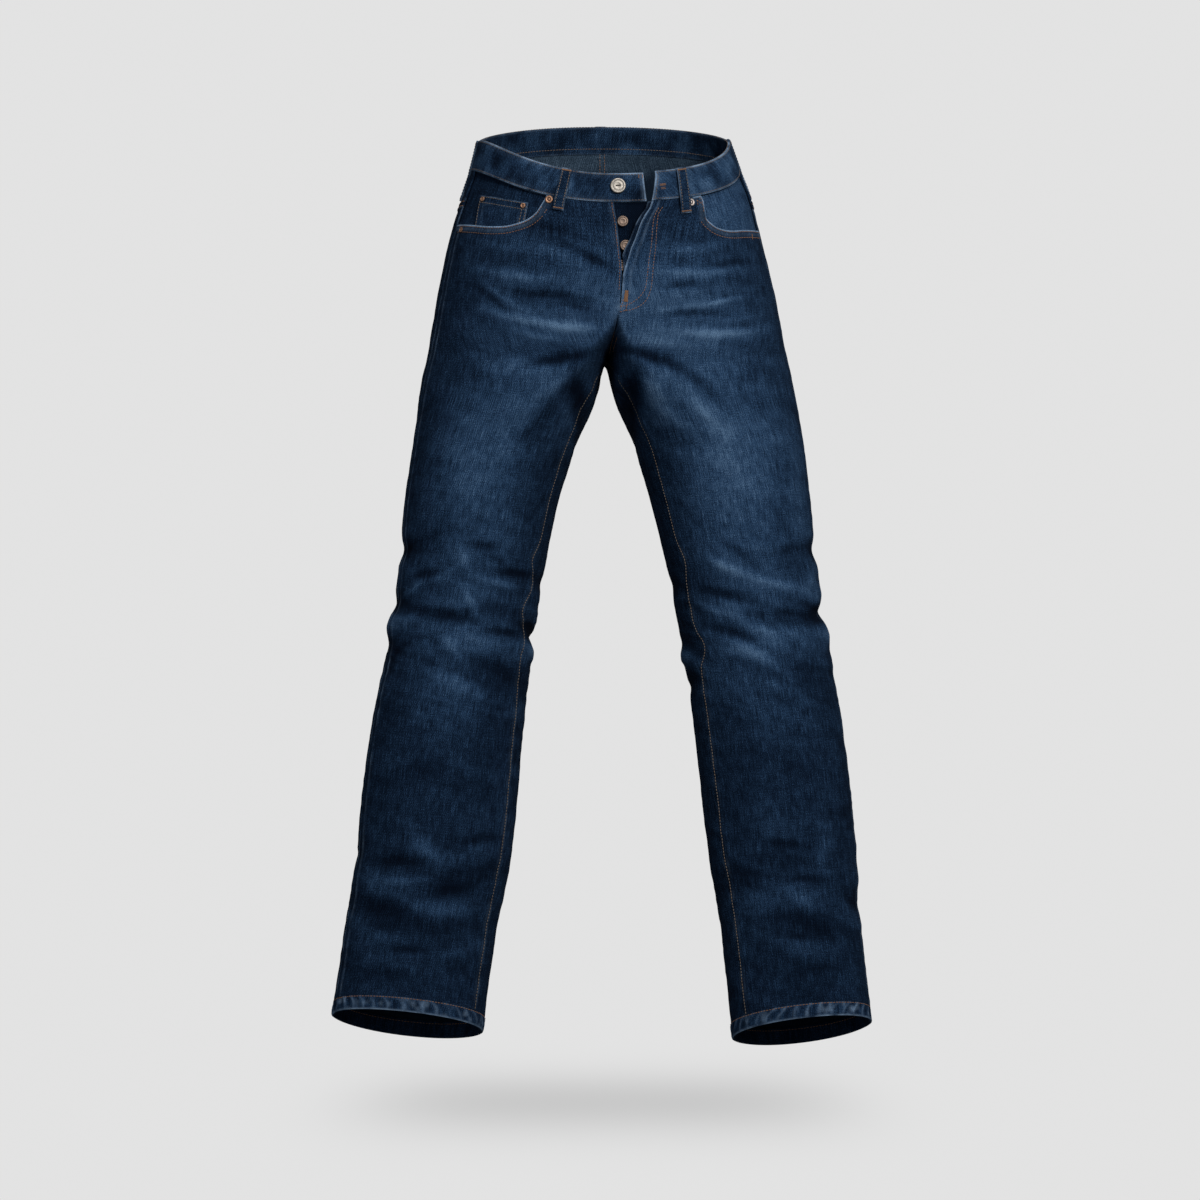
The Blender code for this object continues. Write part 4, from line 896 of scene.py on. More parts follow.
def waistband(finishes):
    """One strip from the open fly's edge round the back to the button's tab."""
    low, high = BAND_SEAM + HALF_GAP, WAIST
    tab_angle, _ = find_front(LEFT, TAB_END, -55 * MM)
    last = 1 - tab_angle / (math.pi / 2)
    fly_heights, fly_angles = flap_line()
    share, out, depth = folded_strip(BAND_CLOTH, high - low)
    heights = low + share * (high - low)
    first = 1 - smooth(heights, fly_heights, fly_angles) / (math.pi / 2)
    base, face = [], []
    # Round the hip: 0 is the centre front, 1 and -1 the sides, 2 and -2 the centre back
    spans = ((LEFT, first[:, None], 1, 110), (LEFT, 1, 2, 130), (RIGHT, -2, -1, 130), (RIGHT, -1, 0, 130),
             (LEFT, 0, last, 26))
    for number, (side, start, end, count) in enumerate(spans):
        ring = start + (end - start) * np.linspace(0, 1, count + 1) + 0 * heights[:, None]
        if number < len(spans) - 1:
            ring = ring[:, :-1]
        grid = heights[:, None] + 0 * ring
        angles = centre_angle(side, grid) * (1 - np.abs(ring))
        point, outward = folded(side, angles, grid)
        if number < 2:
            stand_forward(point, angles, grid)
        base.append(point)
        face.append(outward)
    point = np.concatenate(base, axis=1)
    half = int(np.argmax(depth > 0.5)) - 3
    rise = (point[half - 1] - point[0])[None] + 0 * point
    normal = unit(np.cross(np.gradient(point, axis=1), rise))
    normal *= np.sign(np.sum(normal * np.concatenate(face, axis=1), axis=-1, keepdims=True))
    wrinkle = noise(point, (0.009, 0.009, 0.022), 51) * 0.42 + noise(point, (0.026, 0.026, 0.014), 52) * 0.5
    wrinkle = wrinkle * MM * np.sin(math.pi * share)[:, None] ** 0.5
    edge = (np.minimum(share, 1 - share) * (high - low))[:, None]
    pulled = -0.25 * MM * bump_at(edge, 2.0 * MM, 0.9 * MM) * np.where(depth < 0.5, 1, -1)[:, None]
    grid = moved(point, normal, BAND_PROUD + out[:, None] + wrinkle + pulled)
    wear = worn_seam(edge + 0 * wrinkle, point, ((0.2, 0.8, 1.3), (4, 2.0, 0.08)), 0.9, uneven=0.6)
    wear = wear * np.where(point[..., 1] > 0, 0.25, 1) * np.where(share < 0.5, 0.6, 1)[:, None]
    end = np.minimum(*edge_runs(grid))
    wear = np.clip(wear + worn_seam(end, point, ((0.5, 1.0, 1.5), (3.5, 1.2, 0.2)), 1.1, uneven=0.3), 0, 1)
    on_flap = ease((point[..., 0] - 40 * MM) / (20 * MM)) * ease(-point[..., 1] / (40 * MM))
    fade_and_shade = 0.12 + 0.28 * on_flap + 0.30 * noise(point, (0.03, 0.03, 0.014), 53)
    fade_and_shade = fade_and_shade + 0.22 * noise(point, (0.007, 0.007, 0.018), 54)
    SEWN["band"], SEWN["band_inside"] = grid[:half], grid[half + 3:2 * half + 3]
    # the wrinkles' height is also used as painted shade and painted highlight
    return swept("waistband_cloth", grid, finishes, {"fade_and_shade": fade_and_shade, "wear": wear, "relief_shade": wrinkle / MM * 2})


def hem(side, finishes):
    share, out, depth = folded_strip(HEM_CLOTH, HEM_HEIGHT, rows=15)
    angles, grid = np.meshgrid(np.linspace(0, 2 * math.pi, 340, endpoint=False), LEG_END[side] + share * HEM_HEIGHT)
    base = plain_point(side, angles, grid)
    normal = normal_of(plain_point, side, angles, grid)
    base = moved(base, normal, lift_of(side, angles, grid, base))
    share, outer = share[:, None], np.where(depth < 0.5, 1, 0)[:, None]
    up = share * HEM_HEIGHT / MM
    run = angles * 68 + 8 * noise(base, 0.024, 61)  # millimetres round the leg
    rope = np.cos(2 * math.pi * (run + 9 * (share - 0.5) + 14 * (share - 0.5) ** 2) / 13) ** 3
    face = np.sin(math.pi * share) ** 0.7
    roping = np.clip(0.55 + 0.8 * noise(base, 0.022, 62), 0.1, 1.2) * rope * face
    bulge = ease((1 - share) / 0.12) * (share < 0.88) * outer
    lift = MM * (0.75 * roping + 0.75 * bulge) - 0.4 * MM * bump_at(up, 14.6, 1.0)
    points = moved(base, normal, out[:, None] - 0.15 * MM + outer * lift)
    edges = 0.8 * bump_at(up, 0.2, 1.1) + 0.25 * bump_at(up, 16.6, 0.7)
    wear = edges * (0.75 + 0.7 * noise(base, 0.008, 63)) + 0.30 * np.clip(roping, 0, 1)
    wear = wear + 0.45 * np.clip(noise(base, (0.005, 0.005, 0.007), 64) - 0.1, 0, 1) * face
    name = f"hem_{SIDE_NAMES[side]}"
    SEWN[name] = [points[12], points[15 + 5 + 2]]  # near its top, on the face and inside
    # the roping's ridges get painted highlight and its furrows painted shade
    values = {"fade_and_shade": 0.18 * outer + 0 * wear, "wear": np.clip(wear, 0, 1) * outer, "relief_shade": 1.3 * roping * outer}
    return swept(f"{name}_cloth", points, finishes, values, closed=True)


def patch(name, side, angles, grid, outer, thick, finishes, flap=False, worn=((), 0), pale=0.0):
    """A flat-lying piece between two grids, with rounded edges and rubbed lines along them."""
    points, normals = fine_skin(side, angles, grid, flap=flap)
    edges = np.minimum(np.minimum(*edge_runs(points)), np.minimum(run_of(points), top_run(points)))
    values = looks_of(side, angles, grid, points, worn_seam(edges, points, *worn))
    values["fade_and_shade"] = values["fade_and_shade"] + pale
    SEWN[name] = moved(points, normals, outer + rounded(edges))
    return shell(f"{name}_cloth", SEWN[name], moved(points, normals, outer - thick), finishes, values)


def pocket_facing(side, finishes):
    line_angles, _ = pocket_line(side)
    angles, grid = np.meshgrid(np.linspace(SIDE_SEAM[side] - 0.05, line_angles[-1] + 0.16, 60),
                               np.linspace(-120 * MM, BAND_SEAM - HALF_GAP, 44))
    sunk = (COIN_CLOTH + LAYER_GAP) * ease((angles - SIDE_SEAM[side]) / 0.15) * (side == RIGHT)
    return patch(f"pocket_facing_{SIDE_NAMES[side]}", side, angles, grid, -CLOTH - LAYER_GAP - sunk, COIN_CLOTH,
                 finishes, pale=0.52 if side == LEFT else 0.0)


def coin_pocket(finishes):
    corners = {}
    for k, row in enumerate(("top", "bottom")):
        for edge, z in zip(("outer", "inner"), COIN_POCKET[row]):
            corners[row, edge] = np.array(find_front(RIGHT, COIN_POCKET[edge][k] * MM, z * MM))
    down = edge_shares(0.05, margin=0.008, rough=0.0025)[:, None, None]
    along = edge_shares(0.055, margin=0.008, rough=0.0025)[None, :, None]
    top, foot = (corners[row, "outer"] * (1 - along) + corners[row, "inner"] * along for row in ("top", "bottom"))
    grid = foot * (1 - down) + top * down
    return patch("coin_pocket", RIGHT, grid[..., 0], grid[..., 1], -CLOTH - LAYER_GAP, COIN_CLOTH, finishes,
                 worn=(((0.3, 0.7, 0.8), (8, 1.2, 0.15)), 0.6), pale=0.1)


def back_pocket(side, finishes):
    """A plain five-sided patch below the yoke, set out by its distances over the cloth."""
    pocket = BACK_POCKET
    down = edge_shares(0.13, margin=0.010, fine=0.0013, rough=0.0032)[::-1]
    across = edge_shares(0.135, margin=0.010, fine=0.0013, rough=0.0032) - 0.5
    grid = np.zeros((2, len(down), len(across)))  # angles and heights

    def from_seam(height):
        """Angles at a height from the centre-back seam outwards, and how far over the cloth each is from it."""
        line = np.linspace(-float(centre_angle(side, height)), 0, 60)
        return line, run_of(folded_point(side, line, height + 0 * line))

    levels = np.linspace(-0.30, -0.05, 90)
    wide = np.linspace(0.02, 0.22, 60)
    chart = []
    for level in levels:
        line, run = from_seam(level)
        chart.append(np.interp(wide, run, line))
    chart = np.array(chart)
    top_line, top_runs = from_seam(YOKE_CENTRE)
    for col, share in enumerate(across):
        length = pocket["side_height"] + (pocket["height"] - pocket["side_height"]) * (1 - 2 * abs(share))
        top_angle = np.interp(pocket["from_centre"] + (share + 0.5) * pocket["width"], top_runs, top_line)
        heights = np.linspace(float(yoke_seam(side, top_angle)), -0.30, 60)
        down_run = run_of(folded_point(side, top_angle + 0 * heights, heights))
        grid[1, :, col] = np.interp(pocket["below_yoke"] + length * down, down_run, heights)
        width = pocket["width"] + (pocket["foot_width"] - pocket["width"]) * down
        from_centre = pocket["from_centre"] + pocket["width"] / 2 + share * width
        place = np.interp(grid[1, :, col], levels, np.arange(len(levels)))
        low = np.clip(place.astype(int), 0, len(levels) - 2)
        part = (place - low)[:, None]
        lines = chart[low] * (1 - part) + chart[low + 1] * part
        grid[0, :, col] = [np.interp(reach, wide, line) for reach, line in zip(from_centre, lines)]
    return patch(f"back_pocket_{SIDE_NAMES[side]}", side, *grid, LAYER_GAP + CLOTH, CLOTH, finishes,
                 worn=(((0.3, 0.7, 1.0), (4.5, 2.0, 0.15), (9.5, 1.2, 0.15)), 0.7))


def shield_depth(height):
    return SHIELD_DEPTH + SHIELD_DIP * ease((-38 * MM - height) / (75 * MM))


def fly_shield(finishes):
    """The strip that carries the fly's buttons, from under the wearer's right front to behind the open flap."""
    heights = np.linspace(FLY_END - 4 * MM, BAND_SEAM - HALF_GAP, 60)
    right_edge, dipped, left_foot, left_top = -0.07, -0.02, 0.12, 0.28  # round the hip, as in the band
    left_edge = left_foot + (left_top - left_foot) * (heights - heights[0]) / (heights[-1] - heights[0])
    ring = right_edge + (left_edge[:, None] - right_edge) * np.linspace(0, 1, 40)
    grid = heights[:, None] + 0 * ring
    start = CLOTH + LAYER_GAP
    deep = start + (shield_depth(grid) - start) * ease((ring - right_edge) / (dipped - right_edge))
    right, left = (folded(side, centre_angle(side, grid) * (1 - np.abs(ring)), grid) for side in (RIGHT, LEFT))
    point, outward = (np.where((ring >= 0)[..., None], *pair) for pair in zip(left, right))
    soft = 0.35 * MM * noise(point, (0.02, 0.02, 0.015), 71)
    # painted shade: the strip is darker than the cloth and darkest where it lies behind the open flap; its soft
    # relief also gets painted shade and highlight
    values = {"fade_and_shade": -0.3 - 0.7 * ease(ring / 0.1), "wear": 0 * ring, "relief_shade": soft / MM}
    return shell("fly_shield_cloth", moved(point, outward, soft - deep), moved(point, outward, -deep - CLOTH),
                 finishes, values)


def fly_facing(finishes):
    """The buttonhole side of the fly, under the wearer's left front, a little proud of its edge."""
    fly_heights, fly_angles = flap_line()
    heights = np.linspace(FLY_END + 2 * MM, BAND_SEAM - HALF_GAP, 56)
    edge = smooth(heights, fly_heights, fly_angles)
    peep = FACING_PEEP / (110 * MM) * ease((heights - FLY_END) / (40 * MM))
    edge = np.minimum(edge + peep, front_end(LEFT, heights) - 0.004)
    angles = edge[:, None] - edge_shares(0.03, margin=0.006, rough=0.003)[None, :] * 0.26
    grid = heights[:, None] + 0 * angles
    # pale below 0 darkens the strip as painted shade under the flap's edge
    return patch("fly_facing", LEFT, angles, grid, -CLOTH - LAYER_GAP, COIN_CLOTH, finishes, flap=True,
                 worn=(((0.4, 0.8, 0.8),), 0.6), pale=-0.45)


def belt_loop(name, side, top, foot, finishes, flap=False, stand_off=LOOP_STAND_OFF, lies=0.0, pressed=0.0):
    """A folded strip over the band, from its foot on the panel, where that share of it lies, to the upper edge."""
    surface = flap_point if flap else folded_point
    key = np.array([0, 0.1, 0.24, 0.45, 0.7, 0.86, 0.95, 1])
    lift = np.array([0, 0.2, 0.85, 1.0, 1.0, 0.95, 0.7, 0.5])
    share = np.linspace(0, 1, 44)
    angle = foot[0] + (top[0] - foot[0]) * share
    height = foot[1] + (top[1] - foot[1]) * share
    edges = skin(side, np.array([top[0], top[0] + 0.1]), BAND_SEAM)
    half = LOOP_WIDTH / 2 / (np.linalg.norm(edges[1] - edges[0]) / 0.1)
    lifts = BAND_PROUD + GAP + stand_off * smooth(share, key, lift)
    lifts = lifts - (BAND_PROUD - GAP) * (1 - ease((share - lies) / 0.1))

    def edge(offset, out):
        """A line up the loop, carried on over the centre-back seam where it crosses it."""
        turn = angle + offset
        over = turn < -math.pi / 2
        own = skin(side, np.maximum(turn, -math.pi / 2), height, out, surface)
        other = skin(-side, np.maximum(-math.pi - turn, -math.pi / 2), height, out, surface)
        return np.where(over[:, None], other, own)

    across = np.array([-1, -0.9, -0.72, -0.5, -0.25, 0, 0.25, 0.5, 0.72, 0.9, 1])
    dip = 0.45 * MM * (1 - ease((1 - np.abs(across)) / 0.14)) + 0.18 * MM * bump_at(np.abs(across), 0.70, 0.10)
    rows = [edge(offset * half, lifts + LOOP_CLOTH - drop) for offset, drop in zip(across, dip)]
    rows += [edge(offset * half, lifts + drop * 0.6 - pressed) for offset, drop in zip(across[::-1], dip[::-1])]
    grid = np.stack(rows)
    SEWN[name] = grid[:len(across)]
    edge_wear = 0.55 * bump_at(np.abs(across), 1.0, 0.08)
    end_wear = 0.5 * (bump_at(share, 0.0, 0.03) + bump_at(share, 1.0, 0.03))
    patchy = np.clip(0.5 + noise(grid, 0.008, 81), 0.1, 1.2)
    wear = np.clip((np.concatenate([edge_wear, edge_wear[::-1]])[:, None] + end_wear[None, :]) * patchy, 0, 1)
    values = {"fade_and_shade": 0.12 + 0.2 * noise(grid, (0.01, 0.01, 0.02), 82), "wear": wear, "relief_shade": 0 * wear}
    return swept(f"{name}_cloth", grid, finishes, values)


def belt_loops(finishes):
    made = {}
    top_height = WAIST + LOOP_TOP
    # Each loop's top and foot, seen from the front in millimetres
    for side, top, foot in ((RIGHT, (-40, -31), (-50.5, -77)), (LEFT, (83.5, -33), (90, -80))):
        flap = side == LEFT
        (top_angle, _), foot = (find_front(side, x * MM, z * MM, flap_point if flap else folded_point)
                                for x, z in (top, foot))
        name = f"belt_loop_front_{SIDE_NAMES[side]}"
        made[name] = belt_loop(name, side, (top_angle, top_height), foot, finishes, flap)
    lying = dict(stand_off=SIDE_STAND_OFF, lies=0.42, pressed=1.6 * MM)
    for name, side, degrees, foot, fit in (("side_right", RIGHT, -3, -58, lying), ("side_left", LEFT, -9, -58, lying),
                                           ("back", LEFT, -90, -42, {})):
        angle, name = math.radians(degrees), f"belt_loop_{name}"
        made[name] = belt_loop(name, side, (angle, top_height), (angle, foot * MM), finishes, **fit)
    return made


# ---- metal fittings --------------------------------------------------------------------------------------

def turned(name, centre, axis, profile, finishes, steps=56):
    """A fitting turned about an axis that stands on the cloth. The profile is (radius, height) from the foot."""
    across = unit(np.cross(axis, (0, 0, 1.0)))
    up = np.cross(axis, across)
    turn = np.linspace(0, 2 * math.pi, steps, endpoint=False)[:, None]
    circle = across * np.cos(turn) + up * np.sin(turn)
    flat = np.concatenate([centre + axis * lift + radius * circle for radius, lift in profile])
    index = np.arange(len(flat)).reshape(len(profile), steps)
    ahead = np.roll(index, -1, axis=1)
    points = np.concatenate([flat, [centre + axis * profile[0][1], centre + axis * profile[-1][1]]])
    foot = np.stack([ahead[0], index[0], np.full(steps, len(flat))], axis=-1)
    head = np.stack([index[-1], ahead[-1], np.full(steps, len(flat) + 1)], axis=-1)
    widest = max(radius for radius, _ in profile)
    values = {"across": (points - centre) @ across / widest, "up": (points - centre) @ up / widest}
    return add_mesh(name, points, [ring_faces(index), foot, head], finishes, values=values, sharp=50)


def round_over(radius, *rows, steps=3):
    """A profile of rows (radius as a share, height in millimetres), with each corner between its ends eased."""
    points = np.array(rows) * (radius, MM)
    eased = [points[0]]
    for before, here, after in zip(points[:-2], points[1:-1], points[2:]):
        start, end = here + (before - here) * 0.3, here + (after - here) * 0.3
        eased += [(1 - t) ** 2 * start + 2 * t * (1 - t) * here + t * t * end for t in np.linspace(0, 1, steps)]
    return eased + [points[-1]]


def button_rings(radius):
    """A tack button: a shank, a head with a rolled rim, a sunk ring and a low domed middle."""
    return round_over(
        radius, (0.30, 0), (0.40, 0), (0.40, 1.4), (0.86, 1.5), (1, 2.0), (1, 2.5), (0.92, 3.05), (0.80, 3.15),
        (0.72, 2.75), (0.64, 2.7), (0.60, 2.95), (0.40, 3.05), (0.30, 2.75), (0.10, 2.7))


def rivet_rings(radius):
    """A rivet's cap: a flange, a rolled ring and a nub in the sunk middle."""
    return round_over(
        radius, (0.5, 0), (1, 0), (1, 0.35), (0.86, 0.95), (0.66, 1.15), (0.50, 0.8), (0.38, 0.45), (0.26, 0.55),
        (0.20, 0.95), (0.06, 1.05))


def fitting(name, spot, rings, finish, out):
    """A turned fitting on the front, its foot so far out from the panels' face at a height."""
    side = spot.get("side", LEFT)
    surface = flap_point if spot.get("on_flap") else folded_point
    angle, height = find_front(side, spot["x"], spot["z"], surface)
    foot = skin(side, angle, height, out(height) + GAP, surface)
    made = turned(f"{name}_metal", foot, normal_of(surface, side, angle, height), rings(spot["radius"]), [finish])
    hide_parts(name)


def fittings(steel, copper, rivet, rubbed):
    fitting("waist_button", WAIST_BUTTON, button_rings, steel, lambda height: BAND_PROUD)
    for number, spot in enumerate(FLY_BUTTONS, start=1):
        fitting(f"fly_button_{number}", spot, button_rings, copper,
                lambda height: 0.2 * MM - shield_depth(height))
    for name, spot in RIVETS.items():
        sunk = CLOTH + LAYER_GAP if "coin" in name else 0  # the coin pocket lies on the facing
        # the rivet on the open flap gets a paler, silvery finish
        metal = rubbed if spot.get("on_flap") else rivet
        fitting(name, spot, rivet_rings, metal, lambda height: -sunk)


# ---- sewing ----------------------------------------------------------------------------------------------

def face_tree(*objects):
    """The faces of some pieces, to lay thread on."""
    points, faces = [], []
    for thing in objects:
        shift = len(points)
        points += [vertex.co.copy() for vertex in thing.data.vertices]
        faces += [tuple(k + shift for k in polygon.vertices) for polygon in thing.data.polygons]
    return BVHTree.FromPolygons(points, faces)


def beside(grid, edge, distances, trim=(0, 0), rows=slice(None)):
    """Lines inside one edge of a face at some distances, cut short by so much at their start and end."""
    outermost, inward = {"first": (grid[:, 0], grid[:, 4]), "last": (grid[:, -1], grid[:, -5]),
                         "foot": (grid[0], grid[4]), "top": (grid[-1], grid[-5])}[edge]
    line = resample(outermost[rows], 1.5 * MM)
    guide = resample(inward[rows], 1.5 * MM)
    guide = guide[np.round(np.linspace(0, len(guide) - 1, len(line))).astype(int)]
    ahead = unit(np.gradient(line, axis=0))
    aside = guide - line
    aside = unit(aside - ahead * np.sum(aside * ahead, axis=-1, keepdims=True))
    lines = []
    for distance in distances:
        laid = line + aside * distance
        run = run_of(laid)
        lines.append(laid[(run >= trim[0]) & (run <= run[-1] - trim[1])])
    return lines


def stitches(name, lines, tree, finish, pitch=3.4 * MM, long=2.7 * MM, radius=0.31 * MM):
    """Rows of short threads laid on the cloth, each dipping into it at both ends."""
    shares = np.array([0, 0.16, 0.5, 0.84, 1.0])
    lift = np.array([-0.30, 0.12, 0.26, 0.12, -0.30]) * MM
    thick = np.array([0.6, 1.0, 1.08, 1.0, 0.6]) * radius
    threads = []
    for line in lines:
        nearest = [tree.find_nearest(Vector(point))[:2] for point in resample(line, 0.85 * MM)]
        laid, normals = (np.array([pair[k] for pair in nearest]) for k in (0, 1))
        run = run_of(laid)
        length = min(long, run[-1] * 0.95)
        count = int((run[-1] - length) / pitch) + 1
        starts = (run[-1] - length - (count - 1) * pitch) / 2 + pitch * np.arange(count)
        places = starts[:, None] + shares * length
        spots, facings = (np.stack([np.interp(places, run, values[:, k]) for k in range(3)], axis=-1)
                          for values in (laid, normals))
        facings = unit(facings)
        threads.append((spots + facings * lift[:, None], facings))
    middle, up = (np.concatenate(parts) for parts in zip(*threads))
    side = unit(np.cross(middle[:, -1:] - middle[:, :1], up))
    count, rings, steps = len(middle), len(shares), 5
    turn = np.linspace(0, 2 * math.pi, steps, endpoint=False)[:, None]
    ring = side[:, :, None] * np.cos(turn) + up[:, :, None] * np.sin(turn)
    points = (middle[:, :, None] + ring * thick[:, None, None]).reshape(-1, 3)
    index = np.arange(count * rings * steps).reshape(count, rings, steps)
    return add_mesh(name, points, [ring_faces(index), index[:, 0, ::-1], index[:, -1]], [finish], sharp=60)


# ---- finishes --------------------------------------------------------------------------------------------

class Finish:
    """A material built node by node."""

    def __init__(self, name):
        self.material = bpy.data.materials.new(name)
        self.material.use_nodes = True
        self.tree = self.material.node_tree
        self.shader = self.tree.nodes["Principled BSDF"]

    def add(self, kind, inputs=None, **settings):
        made = self.tree.nodes.new(kind)
        for key, value in settings.items():
            setattr(made, key, value)
        for key, value in (inputs or {}).items():
            self.put(made, key, value)
        return made

    def put(self, made, key, value):
        if isinstance(value, bpy.types.NodeSocket):
            self.tree.links.new(value, made.inputs[key])
        else:
            made.inputs[key].default_value = value

    def set(self, **values):
        """The shader's own inputs, by name with _ for each space."""
        for key, value in values.items():
            self.put(self.shader, key.replace("_", " "), value)

    def math(self, operation, a, b=0.0, clamp=False):
        return self.add("ShaderNodeMath", {0: a, 1: b}, operation=operation, use_clamp=clamp).outputs[0]

    def total(self, base, *terms):
        """base plus each value times its weight."""
        result = base
        for value, weight in terms:
            result = self.math("ADD", self.math("MULTIPLY", value, weight), result)
        return result

    def stretched(self, vector, scale):
        return self.add("ShaderNodeVectorMath", {0: vector, 1: scale}, operation="MULTIPLY").outputs[0]

    def noise(self, vector, scale, detail=2.0, roughness=0.5):
        """Uneven values about 0, over a stretched vector."""
        inputs = {"Vector": self.stretched(vector, scale), "Scale": 1.0, "Detail": detail, "Roughness": roughness}
        return self.math("SUBTRACT", self.add("ShaderNodeTexNoise", inputs).outputs["Fac"], 0.5)

    def ramp(self, value, *stops):
        made = self.add("ShaderNodeValToRGB", {"Fac": value})
        elements = made.color_ramp.elements
        elements[0].position, elements[0].color = stops[0][0], (*stops[0][1], 1)
        elements[1].position, elements[1].color = stops[-1][0], (*stops[-1][1], 1)
        for position, colour in stops[1:-1]:
            elements.new(position).color = (*colour, 1)
        return made.outputs["Color"]

    def mix(self, share, a, b):
        made = self.add("ShaderNodeMix", data_type="RGBA")
        for key, value in ((0, share), (6, a), (7, b)):
            self.put(made, key, value)
        return made.outputs[2]

    def value(self, name):
        return self.add("ShaderNodeAttribute", attribute_name=name).outputs["Fac"]

    def bump(self, height, distance, strength):
        made = self.add("ShaderNodeBump", {"Height": height, "Distance": distance, "Strength": strength})
        self.set(Normal=made.outputs["Normal"])


def denim_finish(name, dark, deep, middle, light, worn, shift=0.0):
    """Indigo twill: blue warp with pale slubs over a light weft, faded where it is rubbed, with painted shade in the
    hollows of its folds and painted highlight on their crests.
    """
    finish = Finish(name)
    cloth = finish.add("ShaderNodeUVMap", uv_map="cloth").outputs["UV"]
    warp = finish.noise(cloth, (950, 55, 1), 3.0, 0.6)
    slub = finish.noise(cloth, (800, 18, 1), 2.0, 0.6)
    grain = finish.noise(cloth, (1150, 820, 1), 2.0, 0.6)
    weft = finish.noise(cloth, (60, 1000, 1), 2.0)
    mottle = finish.noise(cloth, (26, 22, 1), 5.0, 0.6)
    cloudy = finish.noise(cloth, (110, 80, 1), 3.0, 0.65)
    ribs = finish.add("ShaderNodeTexWave", {"Vector": finish.stretched(cloth, (1.0, 0.62, 1)), "Scale": 290.0,
                                            "Distortion": 1.2, "Detail": 1.0}, bands_direction="DIAGONAL")
    twill = finish.math("SUBTRACT", ribs.outputs["Fac"], 0.5)
    # the crest value paints shade into the hollows and highlight onto the crests
    fade_and_shade, wear, relief_shade = finish.value("fade_and_shade"), finish.value("wear"), finish.value("relief_shade")
    tone = finish.total(0.245 + shift, (fade_and_shade, 0.50), (relief_shade, 0.13), (warp, 0.80), (slub, 0.26), (grain, 1.25),
                        (weft, 0.25), (mottle, 0.30), (cloudy, 0.34), (twill, 0.10))
    colour = finish.ramp(tone, (0.0, dark), (0.30, deep), (0.60, middle), (1.0, light))
    rubbed = finish.total(0.0, (wear, 0.95), (finish.math("MULTIPLY", wear, cloudy), 1.8),
                          (finish.math("MULTIPLY", wear, grain), 1.6))
    rubbed = finish.math("MULTIPLY", rubbed, 1.0, clamp=True)
    finish.set(Base_Color=finish.mix(rubbed, colour, (*worn, 1)), Roughness=0.95, Specular_IOR_Level=0.04)
    height = finish.total(0.5, (warp, 0.5), (grain, 0.6), (weft, 0.3), (twill, 0.5), (cloudy, 0.7))
    finish.bump(height, 0.0006, 0.9)
    return finish.material


# How dull an old fitting is from its middle to its rim
BUTTON_RINGS = ((0, 0.3), (0.4, 0.12), (0.6, 0.15), (0.66, 0.42), (0.78, 0.42), (0.84, 0.1), (0.93, 0.25), (1, 1))
RIVET_RINGS = ((0, 0.3), (0.18, 0.1), (0.30, 0.9), (0.46, 0.85), (0.56, 0), (0.80, 0.1), (0.90, 0.7), (1, 1))


def metal_finish(name, bright, dull, rings, slotted=False):
    """Old plated metal, dark in its sunk rings and paler on its high ones."""
    finish = Finish(name)
    across, up = finish.value("across"), finish.value("up")
    ring = finish.math("SQRT", finish.total(0.0, (finish.math("MULTIPLY", across, across), 1.0),
                                            (finish.math("MULTIPLY", up, up), 1.0)))
    place = finish.add("ShaderNodeTexCoord").outputs["Object"]
    stain = finish.noise(place, (520, 520, 520), 3.0, 0.6)
    depth = finish.ramp(ring, *((radius, (dullness,) * 3) for radius, dullness in rings))
    tone = finish.math("ADD", depth, finish.math("MULTIPLY", stain, 1.5), clamp=True)
    if slotted:
        slot = finish.math("MULTIPLY", finish.math("LESS_THAN", finish.math("ABSOLUTE", across), 0.33),
                           finish.math("LESS_THAN", finish.math("ABSOLUTE", up), 0.10))
        tone = finish.math("MAXIMUM", tone, slot)
    finish.set(Base_Color=finish.mix(tone, (*bright, 1), (*dull, 1)), Roughness=finish.total(0.48, (tone, 0.2)),
               Metallic=0.75)
    finish.bump(stain, 0.0002, 0.5)
    return finish.material


def thread_finish(name, warm, pale):
    """Twisted thread, uneven in colour where it is washed out."""
    finish = Finish(name)
    place = finish.add("ShaderNodeTexCoord").outputs["Object"]
    patchy = finish.noise(place, (60, 60, 60), 3.0, 0.6)
    fine = finish.noise(place, (900, 900, 900), 1.0)
    tone = finish.total(0.42, (patchy, 1.6), (fine, 0.8))
    tone = finish.math("MULTIPLY", tone, 1.0, clamp=True)
    finish.set(Base_Color=finish.mix(tone, (*warm, 1), (*pale, 1)), Roughness=0.75, Specular_IOR_Level=0.1)
    return finish.material


# ---- sewing lines ----------------------------------------------------------------------------------------

# The fly's two curved lines on the wearer's left, as X and Z seen from the front
FLY_CURVES = (
    ((64.6, -73.6), (59, -84), (57.5, -100), (56.6, -116), (53.6, -142), (52.1, -160), (47, -175.6), (39.4, -183.2),
     (28, -187.8), (16.9, -189.8)),
    ((60.2, -74.5), (54.7, -86.7), (53, -100), (52, -114), (49.2, -133), (47, -152.5), (45.6, -162.5), (39.8, -172.3),
     (32.6, -178.4), (25.5, -182.3), (16.9, -184.6)),
)


def before_face(side, x, z, surface):
    """The spot seen from the front at X and Z, in millimetres, moved a little out of the cloth."""
    return skin(side, *find_front(side, x * MM, z * MM, surface), 3 * MM, surface)


def front_line(side, places, flap=False):
    """A line through places seen from the front, in millimetres."""
    surface = flap_point if flap else folded_point
    spots = np.array([before_face(side, x, z, surface) for x, z in places])
    run = run_of(spots)
    fine = np.linspace(0, run[-1], 120)
    return np.stack([smooth(fine, run, spots[:, k]) for k in range(3)], axis=-1)


